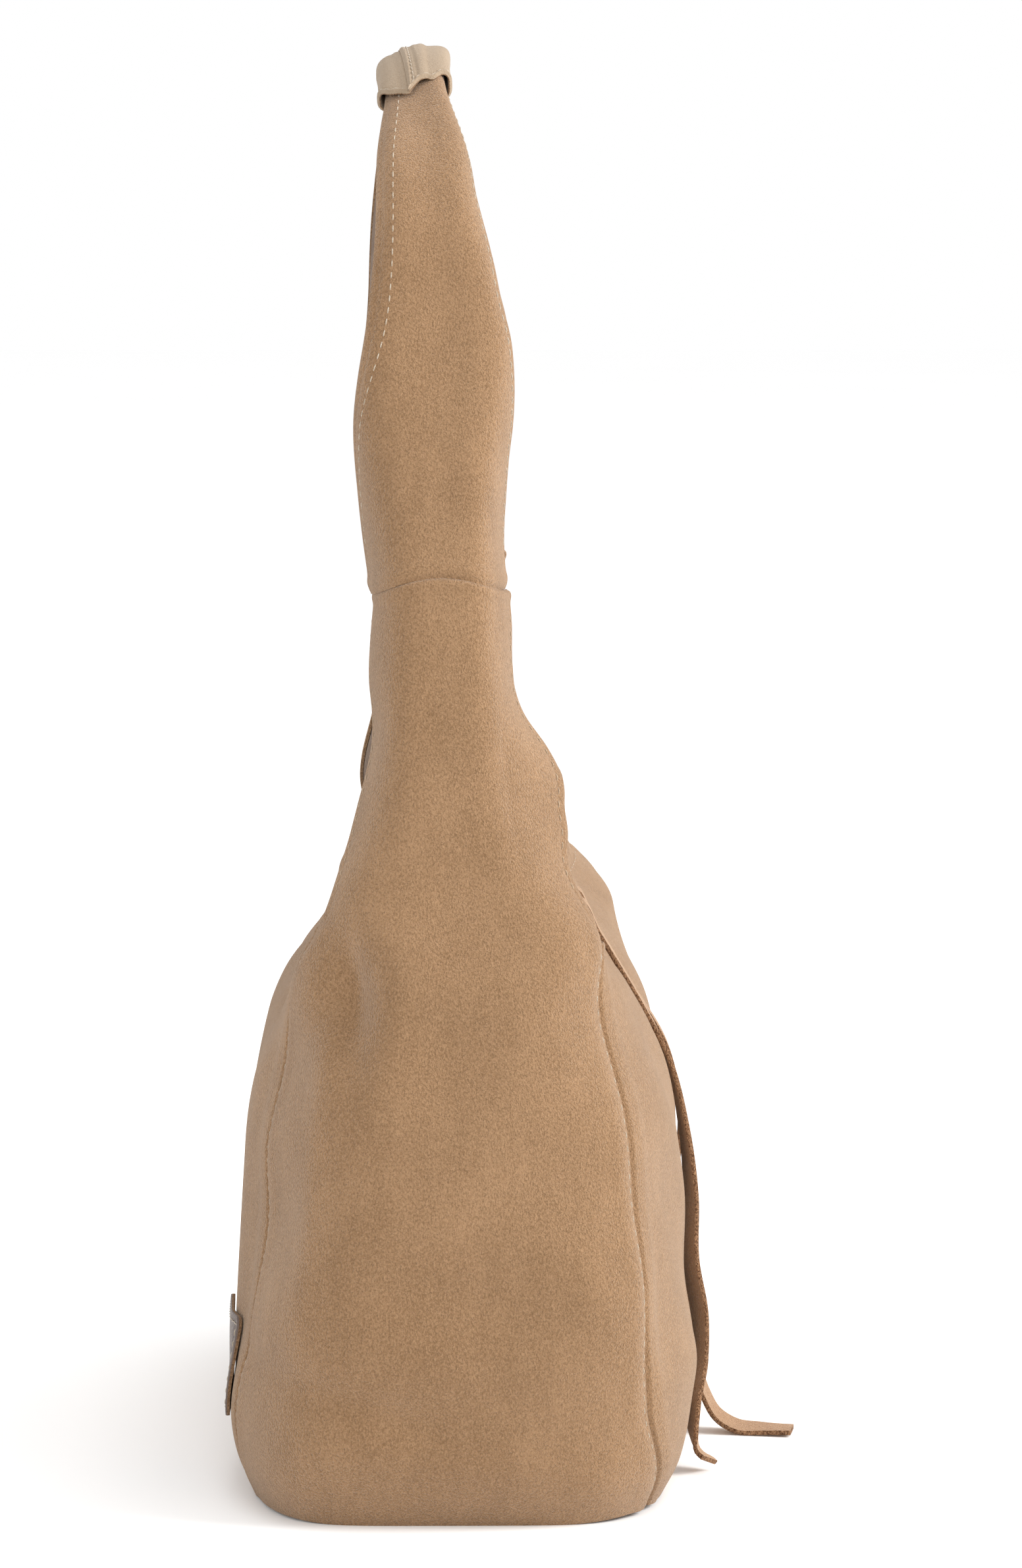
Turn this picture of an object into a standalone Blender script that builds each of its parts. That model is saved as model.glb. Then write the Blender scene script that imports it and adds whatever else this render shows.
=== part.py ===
"""A slouchy suede hobo bag with one wide shoulder strap, standing on its base.

Metres, +Z up. X runs along the bag from end to end, the front faces -Y, and the origin is the middle
of the base's underside. The suede body is a superellipse in plan whose length and depth change with
height. Its two end gussets run on up as narrow necks, and the strap joins them over the top.
"""

import math

import bmesh
import bpy
import numpy as np
from mathutils import Vector

# ---- Driving dimensions ------------------------------------------------------------------------
BAG_LENGTH = 0.326  # end to end, at the fullest height
BAG_DEPTH = 0.168  # front to back, at the fullest height
SEAM_HEIGHT = 0.333  # where the middle of each neck is sewn to the strap
NECK_WIDTH = 0.0506  # front to back, at that seam
STRAP_WIDTH = 0.0550  # at the strap's widest
STRAP_GRIP_WIDTH = 0.0262  # where the sleeve gathers it
STRAP_TOP_HEIGHT = 0.5170  # the strap's outer face at its highest, under the sleeve
STRAP_TOP_RADIUS = 0.095  # of the bend over the top, on the outer face
STRAP_LEAN = 0.0155  # how far the strap's top stands back from the bag's middle
RIM_HEIGHT = 0.200  # of the mouth, at mid length
RIM_CORNER_HEIGHT = 0.210  # of the mouth, where the panels meet the gussets
RIM_PINCH = 0.33  # share by which the mouth is drawn in at mid length
SEAM_RADIUS = 0.046  # of the neck's round top, about the axis that the strap falls over on

# ---- Materials' thicknesses and the gaps between pieces -------------------------------------------
SUEDE = 0.0018
FACING = 0.0012
LINING = 0.0008
BOARD = 0.0020
STRAP_WALL = 0.0030
PLY_GAP = 0.0004  # between one layer and the next
SEAM_GAP = 0.0004  # between two pieces that are sewn edge to edge
SWING_CLEARANCE = 0.00032  # more, where the strap's end turns round the neck's flat facets

# ---- Body profile ----------------------------------------------------------------------------------
# (share of SEAM_HEIGHT, share of half the bag's length) of the end of the bag, from base to seam
END_PROFILE = [
    (0.0, 0.925),
    (0.035, 0.958),
    (0.15, 1.0),
    (0.30, 1.0),
    (0.53, 0.920),
    (0.65, 0.859),
    (0.75, 0.810),
    (0.87, 0.767),
    (1.0, 0.718),
]
# (share of SEAM_HEIGHT, share of half the bag's depth) at mid length, up to where the neck begins
SIDE_PROFILE = [
    (0.0, 0.88),
    (0.03, 0.945),
    (0.135, 1.0),
    (0.32, 0.990),
    (0.45, 0.917),
    (0.53, 0.810),
    (0.60, 0.680),
    (0.65, 0.577),
]
# (share of SEAM_HEIGHT, neck's width as a share of NECK_WIDTH), from there to the seam
NECK_PROFILE = [(0.73, 1.62), (0.81, 1.36), (0.87, 1.17), (0.94, 1.03), (1.0, 1.0)]
# (share of SEAM_HEIGHT, superellipse exponent): square at the base, rounder above, squarer in the neck
SQUARENESS = [(0.0, 6.0), (0.15, 4.6), (0.30, 3.9), (0.65, 4.2), (1.0, 5.0)]
# (share of SEAM_HEIGHT, distance from the bag's end back to the gusset's front edge, metres)
GUSSET_EDGE = [
    (0.0, 0.0200),
    (0.27, 0.0165),
    (0.57, 0.0165),
    (0.65, 0.0185),
    (0.76, 0.0225),
    (0.88, 0.0270),
    (1.0, 0.0300),
]
# the same for its back edge, which runs round onto the back below the mouth
GUSSET_BACK_EDGE = [(0.0, 0.0480), (0.15, 0.0460), (0.30, 0.0410), (0.45, 0.0320), (0.57, 0.0215)]
GUSSET_BACK_EDGE += [(0.65, 0.0185), (0.76, 0.0225), (0.88, 0.0270), (1.0, 0.0300)]
SEAM_ARCH_START = 0.72  # share of SEAM_HEIGHT above which the neck's rows begin to arch like its seam
NECK_SHIFT = 0.0050  # how far back the neck's middle stands at the seam
# (share of SEAM_HEIGHT, how far back a section's middle stands, metres): the belly sags forwards
MIDDLE_LINE = [(0.0, -0.0010), (0.12, -0.0026), (0.26, -0.0046), (0.39, -0.0036), (0.53, -0.0008)]
MIDDLE_LINE += [(0.63, 0.0010), (0.78, 0.0034), (1.0, NECK_SHIFT)]
PINCH_START = 0.60  # share of RIM_HEIGHT where the pinch begins
PINCH_LENGTH = 0.062  # how far along the mouth the pinch reaches

# ---- Strap profile, by distance up the strap from the seam as a share of its half length -----------
STRAP_WIDTHS = [(0.0, None), (0.31, 1.0), (0.48, 0.90), (0.62, 0.72)]
STRAP_DEPTH_FOLDED = 0.011  # how deep the strap's turned-in sides are once it is folded
STRAP_FOLD_FROM = 0.02
STRAP_FOLD_TO = 0.42
STRAP_SECTION_DEPTH = 0.030  # the superellipse's half depth where the strap is folded

# ---- Sleeve, ties, patch ---------------------------------------------------------------------------
SLEEVE_HALF_LENGTH = 0.052
SLEEVE_WALL = 0.0016
SLEEVE_SLACK = 0.0006
SLEEVE_CORNER = 0.0010  # the radius round which its corners turn, before its slack
TIE_WIDTH = 0.011
TIE_THICKNESS = 0.0018
PATCH_WIDTH = 0.046
PATCH_HEIGHT = 0.037
PATCH_FROM_BASE = 0.027
PATCH_FROM_MIDDLE = 0.078  # from mid length to the patch's middle, towards the left end
PATCH_THICKNESS = 0.0016

# ---- Rim facing, lining and pockets ------------------------------------------------------------------
FACING_HEIGHT = 0.030
LINING_START = 0.0070  # height at which the lining's walls begin, over the base
BASE_SEAM_GAP = 0.0009  # between the base panel and the walls' lower edges
BASE_ROLL = 0.018  # height over which the base's edge rolls out
SLIP_POCKET_WIDTH = 0.130
SLIP_POCKET_LOW = 0.055
SLIP_POCKET_HIGH = 0.145
ZIP_POCKET_WIDTH = 0.160
ZIP_POCKET_HEIGHT = 0.092
ZIP_POCKET_LOW = 0.050
ZIP_SHEET = 0.0008
ZIP_FRAME_BORDER = 0.0065
ZIP_FRAME_THICKNESS = 0.0012
ZIP_WINDOW_LENGTH = 0.132
ZIP_WINDOW_HEIGHT = 0.0130
ZIP_BELOW_TOP = 0.020  # from the pocket's top edge down to the chain's middle
ZIP_TAPE = 0.0006
ZIP_CHAIN_HEIGHT = 0.0022  # of one half
ZIP_CHAIN_THICKNESS = 0.0014
ZIP_CHAIN_GAP = 0.0011
ZIP_TEETH = 33
ZIP_STOP_LENGTH = 0.0022
SLIDER_LENGTH = 0.0090
SLIDER_HEIGHT = 0.0074
SLIDER_PLATE = 0.0010
SLIDER_CLEARANCE = 0.0003
SLIDER_WEB = 0.0005
BRIDGE_LENGTH = 0.0060
BRIDGE_WIDTH = 0.0014
BRIDGE_RISE = 0.0024
BRIDGE_BAR = 0.0008
PULLER_LENGTH = 0.0240
PULLER_WIDTH = 0.0056
PULLER_THICKNESS = 0.0012
PULLER_EYE_LENGTH = 0.0032
PULLER_EYE_WIDTH = 0.0026

SUEDE_COLOUR = (0.42, 0.27, 0.16, 1.0)
SLEEVE_COLOUR = (0.50, 0.37, 0.26, 1.0)
FACING_COLOUR = (0.30, 0.19, 0.12, 1.0)
LINING_COLOUR = (0.55, 0.48, 0.38, 1.0)
PATCH_COLOUR = (0.09, 0.055, 0.04, 1.0)
BOARD_COLOUR = (0.25, 0.23, 0.20, 1.0)
METAL_COLOUR = (0.62, 0.52, 0.33, 1.0)
TAPE_COLOUR = (0.36, 0.25, 0.17, 1.0)


# ---- Small helpers ---------------------------------------------------------------------------------
def clear_scene():
    for old in list(bpy.data.objects):
        bpy.data.objects.remove(old)


def material(name, colour, roughness, metallic=0.0):
    made = bpy.data.materials.new(name)
    made.use_nodes = True
    shader = made.node_tree.nodes["Principled BSDF"]
    shader.inputs["Base Color"].default_value = colour
    shader.inputs["Roughness"].default_value = roughness
    shader.inputs["Metallic"].default_value = metallic
    return made


def smooth_curve(knots):
    """A cubic curve through (place, value) knots, flat beyond them, as a function of an array."""
    place, value = np.array(knots, float).T
    slope = np.gradient(value, place)

    def at(x):
        i = np.clip(np.searchsorted(place, x, side="right") - 1, 0, len(place) - 2)
        step = place[i + 1] - place[i]
        s = np.clip((x - place[i]) / step, 0.0, 1.0)
        rise = (3 - 2 * s) * s * s
        lift = s * (1 - s) * ((1 - s) * slope[i] - s * slope[i + 1]) * step
        return value[i] + rise * (value[i + 1] - value[i]) + lift

    return at


def ease(x, start, end):
    s = np.clip((x - start) / (end - start), 0.0, 1.0)
    return s * s * (3 - 2 * s)


# ---- The body's surface ------------------------------------------------------------------------------
half_length_share = smooth_curve(END_PROFILE)
NECK_SHARES = [(place, share * NECK_WIDTH / BAG_DEPTH) for place, share in NECK_PROFILE]
half_depth_share = smooth_curve(SIDE_PROFILE + NECK_SHARES)
squareness = smooth_curve(SQUARENESS)
edge_distance = smooth_curve(GUSSET_EDGE)
back_edge_distance = smooth_curve(GUSSET_BACK_EDGE)
middle_line = smooth_curve(MIDDLE_LINE)


def half_length(h):
    return half_length_share(h / SEAM_HEIGHT) * BAG_LENGTH / 2


def half_depth(h):
    return half_depth_share(h / SEAM_HEIGHT) * BAG_DEPTH / 2


def middle(h):
    """How far back the section's middle stands at height h."""
    return middle_line(h / SEAM_HEIGHT)


def edge_x(h, side):
    """How far from the bag's middle the gusset's front (side -1) or back (side 1) edge is at height h."""
    level = h / SEAM_HEIGHT
    return half_length(h) - np.where(side > 0, back_edge_distance(level), edge_distance(level))


def drawn_in(x, h):
    """The factor on the depth that the mouth's pinch leaves, 1 away from the mouth's middle."""
    rise = np.clip(h / RIM_HEIGHT - PINCH_START, 0.0, 1.0) / (1 - PINCH_START)
    return 1 - RIM_PINCH * np.minimum(rise, 1.0) ** 2 * np.exp(-((x / PINCH_LENGTH) ** 2))


def strap_slope():
    """The strap legs' angle from upright: each is a straight line that touches the top bend."""
    rise = STRAP_TOP_HEIGHT - STRAP_TOP_RADIUS - SEAM_HEIGHT
    run = half_length(SEAM_HEIGHT)
    return math.atan2(run, rise) - math.asin(STRAP_TOP_RADIUS / math.hypot(run, rise))


def arch_drop(y):
    """How far below its middle the seam lies at y, on a circle about the strap's axis."""
    return SEAM_RADIUS - np.sqrt(SEAM_RADIUS**2 - (y - NECK_SHIFT) ** 2)


def gusset_surface(across, h):
    """A point of the left gusset: across runs from its front edge, -1, to its back edge, 1."""
    a, b, n = half_length(h), half_depth(h), squareness(h / SEAM_HEIGHT)
    x_edge = edge_x(h, across)
    y_edge = b * (1 - (x_edge / a) ** n) ** (1 / n)
    angle = across * np.arctan2(y_edge, x_edge)
    radius = ((np.cos(angle) / a) ** n + np.abs(np.sin(angle) / b) ** n) ** (-1 / n)
    x = -radius * np.cos(angle)
    y = middle(h) + radius * np.sin(angle) * drawn_in(x, h)
    arched = ease(h, SEAM_ARCH_START * SEAM_HEIGHT, SEAM_HEIGHT)
    near_top = np.clip(y, NECK_SHIFT - 0.9 * SEAM_RADIUS, NECK_SHIFT + 0.9 * SEAM_RADIUS)
    return np.stack([x, y, h - arched * arch_drop(near_top)], axis=-1)


def rim_height(along):
    """The mouth's height over a panel, which rises from mid length, 0, to its corners, -1 and 1."""
    return RIM_HEIGHT + (RIM_CORNER_HEIGHT - RIM_HEIGHT) * np.abs(along) ** 3


def panel_surface(side):
    """The front (side -1) or back (side 1) panel's surface, as a function of along and height."""

    def surface(along, h):
        a, b, n = half_length(h), half_depth(h), squareness(h / SEAM_HEIGHT)
        x = along * edge_x(h, side)
        y = middle(h) + side * b * (1 - (np.abs(x) / a) ** n) ** (1 / n) * drawn_in(x, h)
        return np.stack([x, y, h + 0 * x], axis=-1)

    return surface


def outward_normals(surface, u, v, inside):
    """Unit normals of surface(u, v) by small steps, pointing away from the points inside."""
    step = 1e-5
    du = surface(u + step, v) - surface(u - step, v)
    dv = surface(u, v + step * SEAM_HEIGHT) - surface(u, v - step * SEAM_HEIGHT)
    normal = np.cross(du, dv)
    normal /= np.linalg.norm(normal, axis=-1, keepdims=True)
    away = surface(u, v) - inside(surface(u, v))
    return normal * np.sign((normal * away).sum(-1, keepdims=True))


def bag_axis(points):
    """The points of the bag's long axis beside these points, lying inside every wall."""
    beside = points.copy()
    beside[..., 0] *= 0.5
    beside[..., 1] = 0.0
    return beside


# ---- Building solids -----------------------------------------------------------------------------------
def new_object(name, mesh_maker, finish, parent=None, smooth=True):
    """Runs mesh_maker on an empty bmesh and makes the result an object with outward normals."""
    work = bmesh.new()
    mesh_maker(work)
    bmesh.ops.recalc_face_normals(work, faces=work.faces)
    mesh = bpy.data.meshes.new(name)
    work.to_mesh(mesh)
    work.free()
    if smooth:
        mesh.shade_smooth()
        mesh.set_sharp_from_angle(angle=math.radians(40))
    made = bpy.data.objects.new(name, mesh)
    bpy.context.scene.collection.objects.link(made)
    made.data.materials.append(finish)
    made.parent = parent
    return made


def slab_between(work, outer, inner):
    """Closes two grids of points, each rows by columns, into one solid sheet."""
    rows, columns = outer.shape[:2]
    skins = [[[work.verts.new(p) for p in row] for row in grid] for grid in (outer, inner)]
    for i in range(rows - 1):
        for j in range(columns - 1):
            for skin in skins:
                work.faces.new((skin[i][j], skin[i][j + 1], skin[i + 1][j + 1]))
                work.faces.new((skin[i][j], skin[i + 1][j + 1], skin[i + 1][j]))
    border = [(0, j) for j in range(columns)] + [(i, columns - 1) for i in range(1, rows)]
    border += [(rows - 1, j) for j in range(columns - 2, -1, -1)]
    border += [(i, 0) for i in range(rows - 2, 0, -1)]
    for (i, j), (k, m) in zip(border, border[1:] + border[:1]):
        work.faces.new((skins[0][i][j], skins[0][k][m], skins[1][k][m], skins[1][i][j]))


class Skin:
    """A grid of points on one wall with its normals, from which every layer of that wall is cut."""

    def __init__(self, surface, u, v):
        self.points = surface(u, v)
        self.normals = outward_normals(surface, u, v, bag_axis)

    def layer(self, rows, columns, depth):
        """Points that lie depth inside the wall, on these fractional rows and columns."""
        points = on_lines(on_lines(self.points, rows, 0), columns, 1)
        normals = on_lines(on_lines(self.normals, rows, 0), columns, 1)
        return points - normals * depth


def on_lines(values, lines, axis):
    """Values read along an axis at fractional places, straight between whole ones."""
    low = np.minimum(np.floor(lines).astype(int), values.shape[axis] - 2)
    share = (lines - low).reshape([-1 if k == axis else 1 for k in range(3)])
    return np.take(values, low, axis) * (1 - share) + np.take(values, low + 1, axis) * share


def lines_from(low, high):
    """Two fractional places and the whole ones between them."""
    whole = np.arange(math.ceil(low + 0.02), math.ceil(high - 0.02))
    return np.concatenate([[low], whole, [high]])


def sheet(name, skin, rows, columns, depth, thickness, finish, mirrored=False):
    """A sheet of even thickness that lies depth inside a skin, between (low, high) lines."""
    rows, columns = lines_from(*rows), lines_from(*columns)
    turn = (-1, 1, 1) if mirrored else (1, 1, 1)
    outer = skin.layer(rows, columns, depth) * turn
    inner = skin.layer(rows, columns, depth + thickness) * turn
    return new_object(name, lambda work: slab_between(work, outer, inner), finish)


def box(work, low, high):
    """A box between two corners."""
    corners = [work.verts.new([(low, high)[k][i] for i, k in enumerate(pick)]) for pick in CORNERS]
    for face in BOX_FACES:
        work.faces.new([corners[i] for i in face])


CORNERS = [(0, 0, 0), (1, 0, 0), (1, 1, 0), (0, 1, 0), (0, 0, 1), (1, 0, 1), (1, 1, 1), (0, 1, 1)]
BOX_FACES = [(0, 3, 2, 1), (4, 5, 6, 7), (0, 1, 5, 4), (1, 2, 6, 5), (2, 3, 7, 6), (3, 0, 4, 7)]


def prism(work, outline, axis, low, high):
    """Extrudes an outline of (second, third) coordinates along axis 0, 1 or 2 from low to high."""

    def placed(point, level):
        spot = list(point)
        spot.insert(axis, level)
        return work.verts.new(spot)

    first = [placed(p, low) for p in outline]
    last = [placed(p, high) for p in outline]
    work.faces.new(first)
    work.faces.new(last[::-1])
    for i in range(len(outline)):
        j = (i + 1) % len(outline)
        work.faces.new((first[i], first[j], last[j], last[i]))


# ---- Body panels ------------------------------------------------------------------------------------------
# Heights of the rows at the mouth's corners, which the gussets and the panels share, then the neck's.
ROLL_ROWS = [0.0, LINING_START, BASE_ROLL]
WALL_ROWS = list(np.linspace(BASE_ROLL, RIM_CORNER_HEIGHT - FACING_HEIGHT, 9)[1:])
FACING_ROWS = list(np.linspace(RIM_CORNER_HEIGHT - FACING_HEIGHT, RIM_CORNER_HEIGHT, 3)[1:])
CORNER_ROWS = np.array(ROLL_ROWS + WALL_ROWS + FACING_ROWS)
NECK_ROWS = np.linspace(RIM_CORNER_HEIGHT, SEAM_HEIGHT, 9)[1:]
LINING_ROW = 1
FACING_ROW = len(ROLL_ROWS) + len(WALL_ROWS) - 1
PANEL_COLUMNS = 21
HALF_GUSSET = [0.0, 0.34, 0.56, 0.72, 0.85, 1.0]  # shares across a gusset, closer at its corners


def row_at(height):
    return float(np.interp(height, CORNER_ROWS, np.arange(len(CORNER_ROWS))))


def gusset_skin():
    half = np.array(HALF_GUSSET) * (1 - SEAM_GAP / NECK_WIDTH / 2)
    u, v = np.meshgrid(np.append(-half[:0:-1], half), np.append(CORNER_ROWS, NECK_ROWS))
    return Skin(gusset_surface, u, v)


def panel_skin(side):
    along = np.linspace(-1, 1, PANEL_COLUMNS) * (1 - SEAM_GAP / BAG_LENGTH)
    u, v = np.meshgrid(along, CORNER_ROWS)
    v = v - (RIM_CORNER_HEIGHT - rim_height(u)) * (v / RIM_CORNER_HEIGHT) ** 2
    return Skin(panel_surface(side), u, v)


def make_outer(skins, suede):
    whole = (0, len(CORNER_ROWS) - 1 + len(NECK_ROWS)), (0, 2 * len(HALF_GUSSET) - 2)
    sheet("left_gusset", skins["gusset"], *whole, 0.0, SUEDE, suede)
    sheet("right_gusset", skins["gusset"], *whole, 0.0, SUEDE, suede, mirrored=True)
    for side in ("front", "back"):
        whole = (0, len(CORNER_ROWS) - 1), (0, PANEL_COLUMNS - 1)
        sheet(side + "_panel", skins[side], *whole, 0.0, SUEDE, suede)


def base_outline(inset, count=48):
    """The base's outline in plan, that far inside the walls' lower edge."""
    a, b, n = half_length(0.0) - inset, half_depth(0.0) - inset, squareness(0.0)
    turn = np.linspace(0, 2 * math.pi, count, endpoint=False)
    radius = (np.abs(np.cos(turn) / a) ** n + np.abs(np.sin(turn) / b) ** n) ** (-1 / n)
    return np.stack([radius * np.cos(turn), middle(0.0) + radius * np.sin(turn)], axis=-1)


def make_base(suede, board, lining):
    outline = base_outline(SUEDE + BASE_SEAM_GAP)
    new_object("base_panel", lambda w: prism(w, outline, 2, 0.0, SUEDE), suede)
    board_low = SUEDE + PLY_GAP
    board_outline = base_outline(SUEDE + LINING + 3 * PLY_GAP + 0.002)
    new_object("base_board", lambda w: prism(w, board_outline, 2, board_low, board_low + BOARD), board)
    lining_low = board_low + BOARD + PLY_GAP
    new_object(
        "base_lining", lambda w: prism(w, board_outline, 2, lining_low, lining_low + LINING), lining
    )


def make_facings_and_linings(skins, facing, lining):
    depth = SUEDE + PLY_GAP
    gap = SEAM_GAP / (CORNER_ROWS[FACING_ROW] - CORNER_ROWS[FACING_ROW - 1])
    rim, seam = len(CORNER_ROWS) - 1, len(CORNER_ROWS) - 1 + len(NECK_ROWS)
    for side in ("front", "back"):
        columns = (0, PANEL_COLUMNS - 1)
        sheet(side + "_rim_facing", skins[side], (FACING_ROW, rim), columns, depth, FACING, facing)
        rows = (LINING_ROW, FACING_ROW - gap)
        sheet(side + "_lining", skins[side], rows, columns, depth, LINING, lining)
    for end, mirrored in (("left", False), ("right", True)):
        columns, skin = (0, 2 * len(HALF_GUSSET) - 2), skins["gusset"]
        rows = (FACING_ROW, seam)
        sheet(end + "_neck_facing", skin, rows, columns, depth, FACING, facing, mirrored)
        rows = (LINING_ROW, FACING_ROW - gap)
        sheet(end + "_gusset_lining", skin, rows, columns, depth, LINING, lining, mirrored)


def columns_about(centre, width, height, side):
    """A panel's fractional columns between which a piece of that width lies at a height."""
    place = np.array([centre - width / 2, centre + width / 2]) / edge_x(height, side)
    return tuple((place + 1) * (PANEL_COLUMNS - 1) / 2)


def make_patch_and_slip_pocket(skins, patch, lining):
    rows = row_at(PATCH_FROM_BASE), row_at(PATCH_FROM_BASE + PATCH_HEIGHT)
    columns = columns_about(-PATCH_FROM_MIDDLE, PATCH_WIDTH, PATCH_FROM_BASE, 1)
    depth = -PLY_GAP - PATCH_THICKNESS
    sheet("back_patch", skins["back"], rows, columns, depth, PATCH_THICKNESS, patch)
    rows = row_at(SLIP_POCKET_LOW), row_at(SLIP_POCKET_HIGH)
    columns = columns_about(0.0, SLIP_POCKET_WIDTH, SLIP_POCKET_LOW, -1)
    depth = SUEDE + LINING + 2 * PLY_GAP
    sheet("slip_pocket", skins["front"], rows, columns, depth, LINING, lining)


# ---- Strap and sleeve ----------------------------------------------------------------------------------------
def strap_half_length():
    """Length of the strap's outer face from a seam to the top."""
    rise = STRAP_TOP_HEIGHT - STRAP_TOP_RADIUS - SEAM_HEIGHT
    straight = math.sqrt(half_length(SEAM_HEIGHT) ** 2 + rise**2 - STRAP_TOP_RADIUS**2)
    return straight + STRAP_TOP_RADIUS * (math.pi / 2 - strap_slope())


def strap_spine(s):
    """Place and inward direction, both in X and Z, of the left leg's outer face, s up from the seam."""
    slope, total = strap_slope(), strap_half_length()
    bend_from = total - STRAP_TOP_RADIUS * (math.pi / 2 - slope)
    turn = slope + np.maximum(s - bend_from, 0.0) / STRAP_TOP_RADIUS
    on_leg = np.minimum(s, bend_from)
    x_leg = -half_length(SEAM_HEIGHT) + on_leg * math.sin(slope)
    z_leg = SEAM_HEIGHT + on_leg * math.cos(slope)
    x = x_leg + STRAP_TOP_RADIUS * (math.cos(slope) - np.cos(turn))
    z = z_leg + STRAP_TOP_RADIUS * (np.sin(turn) - math.sin(slope))
    return x, z, np.cos(turn), -np.sin(turn)


def strap_half_width(s):
    total = strap_half_length()
    knots = [(0.0, NECK_WIDTH / 2)]
    knots += [(place * total, share * STRAP_WIDTH / 2) for place, share in STRAP_WIDTHS[1:]]
    knots += [(total - 0.9 * SLEEVE_HALF_LENGTH, STRAP_GRIP_WIDTH / 2), (total, STRAP_GRIP_WIDTH / 2)]
    return smooth_curve(knots)(s)


def strap_middle(s):
    """How far back the strap's middle stands, from the neck's at the seam to the top's."""
    return NECK_SHIFT + (STRAP_LEAN - NECK_SHIFT) * ease(s, 0.0, strap_half_length())


def strap_surface(across, s):
    """A point of the left half of the strap: across from the front edge, -1, to the back edge, 1."""
    x, z, in_x, in_z = strap_spine(s)
    folded = ease(s, STRAP_FOLD_FROM * strap_half_length(), STRAP_FOLD_TO * strap_half_length())
    stretch = 1 / math.cos(strap_slope())
    a = half_length(SEAM_HEIGHT) * stretch * (1 - folded) + STRAP_SECTION_DEPTH * folded
    depth = edge_distance(1.0) * stretch * (1 - folded) + STRAP_DEPTH_FOLDED * folded
    b, n = strap_half_width(s), squareness(1.0)
    edge_in = a - depth
    edge_out = b * (1 - (edge_in / a) ** n) ** (1 / n)
    angle = across * np.arctan2(edge_out, edge_in)
    radius = ((np.cos(angle) / a) ** n + np.abs(np.sin(angle) / b) ** n) ** (-1 / n)
    inward = a - radius * np.cos(angle)
    y = strap_middle(s) + radius * np.sin(angle)
    return np.stack([x + in_x * inward, y, z + in_z * inward], axis=-1)


def strap_inside(points):
    """Points under the strap's bend, so that normals can be told to point away from them."""
    beside = points.copy()
    beside[..., 0] += 0.02
    beside[..., 1] = STRAP_LEAN / 2
    beside[..., 2] -= 0.03
    return beside


def first_section(across):
    """How far up the strap its lower edge lies at each place across, to follow the neck's round top."""
    s = 0 * across
    clear = SEAM_RADIUS + SEAM_GAP + SWING_CLEARANCE + STRAP_WALL * math.sin(strap_slope())
    for _ in range(8):
        _, y, z = np.moveaxis(strap_surface(across, s), -1, 0)
        radius = np.hypot(y - NECK_SHIFT, z - (SEAM_HEIGHT - SEAM_RADIUS))
        s = s + (clear - radius)
    return s


def make_strap(suede):
    half = np.array(HALF_GUSSET)
    across = np.append(-half[:0:-1], half)
    total = strap_half_length()
    start, grip = first_section(across), total - SLEEVE_HALF_LENGTH
    legs = start + (grip - start) * np.linspace(0, 1, 11)[:, None]
    top = np.linspace(grip, total - SEAM_GAP / 2, 7)[1:, None] + 0 * across
    s = np.concatenate([legs, top])
    u = across + 0 * s
    points = strap_surface(u, s)
    inner = points - outward_normals(strap_surface, u, s, strap_inside) * STRAP_WALL
    for name, flip in (("strap_left", 1), ("strap_right", -1)):
        outside, inside = points * (flip, 1, 1), inner * (flip, 1, 1)
        new_object(name, lambda work: slab_between(work, outside, inside), suede)


def sleeve_ring(s, grow):
    """The sleeve's outline round the strap at s, grown outwards by that much, in X, Y and Z."""
    x, z, in_x, in_z = strap_spine(s)
    half = np.array([STRAP_DEPTH_FOLDED / 2, strap_half_width(s)]) + grow
    corner = SLEEVE_CORNER + grow
    turn = np.radians([0, 30, 60, 90, 90, 120, 150, 180, 180, 210, 240, 270, 270, 300, 330, 360])
    side = np.repeat([[1, 1], [-1, 1], [-1, -1], [1, -1]], 4, axis=0)
    ring = side * (half - corner) + corner * np.stack([np.cos(turn), np.sin(turn)], axis=-1)
    inward = STRAP_DEPTH_FOLDED / 2 + ring[:, 0]
    y = strap_middle(s) + ring[:, 1]
    return np.stack([x + in_x * inward, y, z + in_z * inward], axis=-1)


def make_sleeve(sleeve):
    total = strap_half_length()
    stops = np.linspace(total - SLEEVE_HALF_LENGTH, total, 7)
    shells = []
    for grow in (SLEEVE_SLACK, SLEEVE_SLACK + SLEEVE_WALL):
        left = [sleeve_ring(s, grow) for s in stops]
        right = [ring * (-1, 1, 1) for ring in left[-2::-1]]
        shells.append(left + right)

    def mesh(work):
        inner, outer = [[[work.verts.new(p) for p in ring] for ring in rings] for rings in shells]
        count = len(outer[0])
        for rings in (inner, outer):
            for low, high in zip(rings, rings[1:]):
                for i in range(count):
                    j = (i + 1) % count
                    work.faces.new((low[i], low[j], high[j], high[i]))
        for end in (0, -1):
            for i in range(count):
                j = (i + 1) % count
                work.faces.new((inner[end][i], inner[end][j], outer[end][j], outer[end][i]))

    new_object("strap_sleeve", mesh, sleeve)


# ---- Ties ------------------------------------------------------------------------------------------------------
# Each tie is a flat lace. Its route is (x, y, z) of its middle line, from its sewn root inside the rim,
# over the front rim and down the front panel to the floor.
def hang_down_front(x_top, x_low, stand_off, levels):
    """Points down the front panel, stand_off from its outer face, drifting along from x_top to x_low."""
    surface = panel_surface(-1)
    points = []
    for h in levels:
        share = (RIM_HEIGHT - h) / RIM_HEIGHT
        x = x_top + (x_low - x_top) * share
        along, level = np.array([[x / edge_x(h, -1)]]), np.array([[h]])
        out = outward_normals(surface, along, level, bag_axis)
        points.append(tuple((surface(along, level) + out * stand_off)[0, 0]))
    return points


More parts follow.
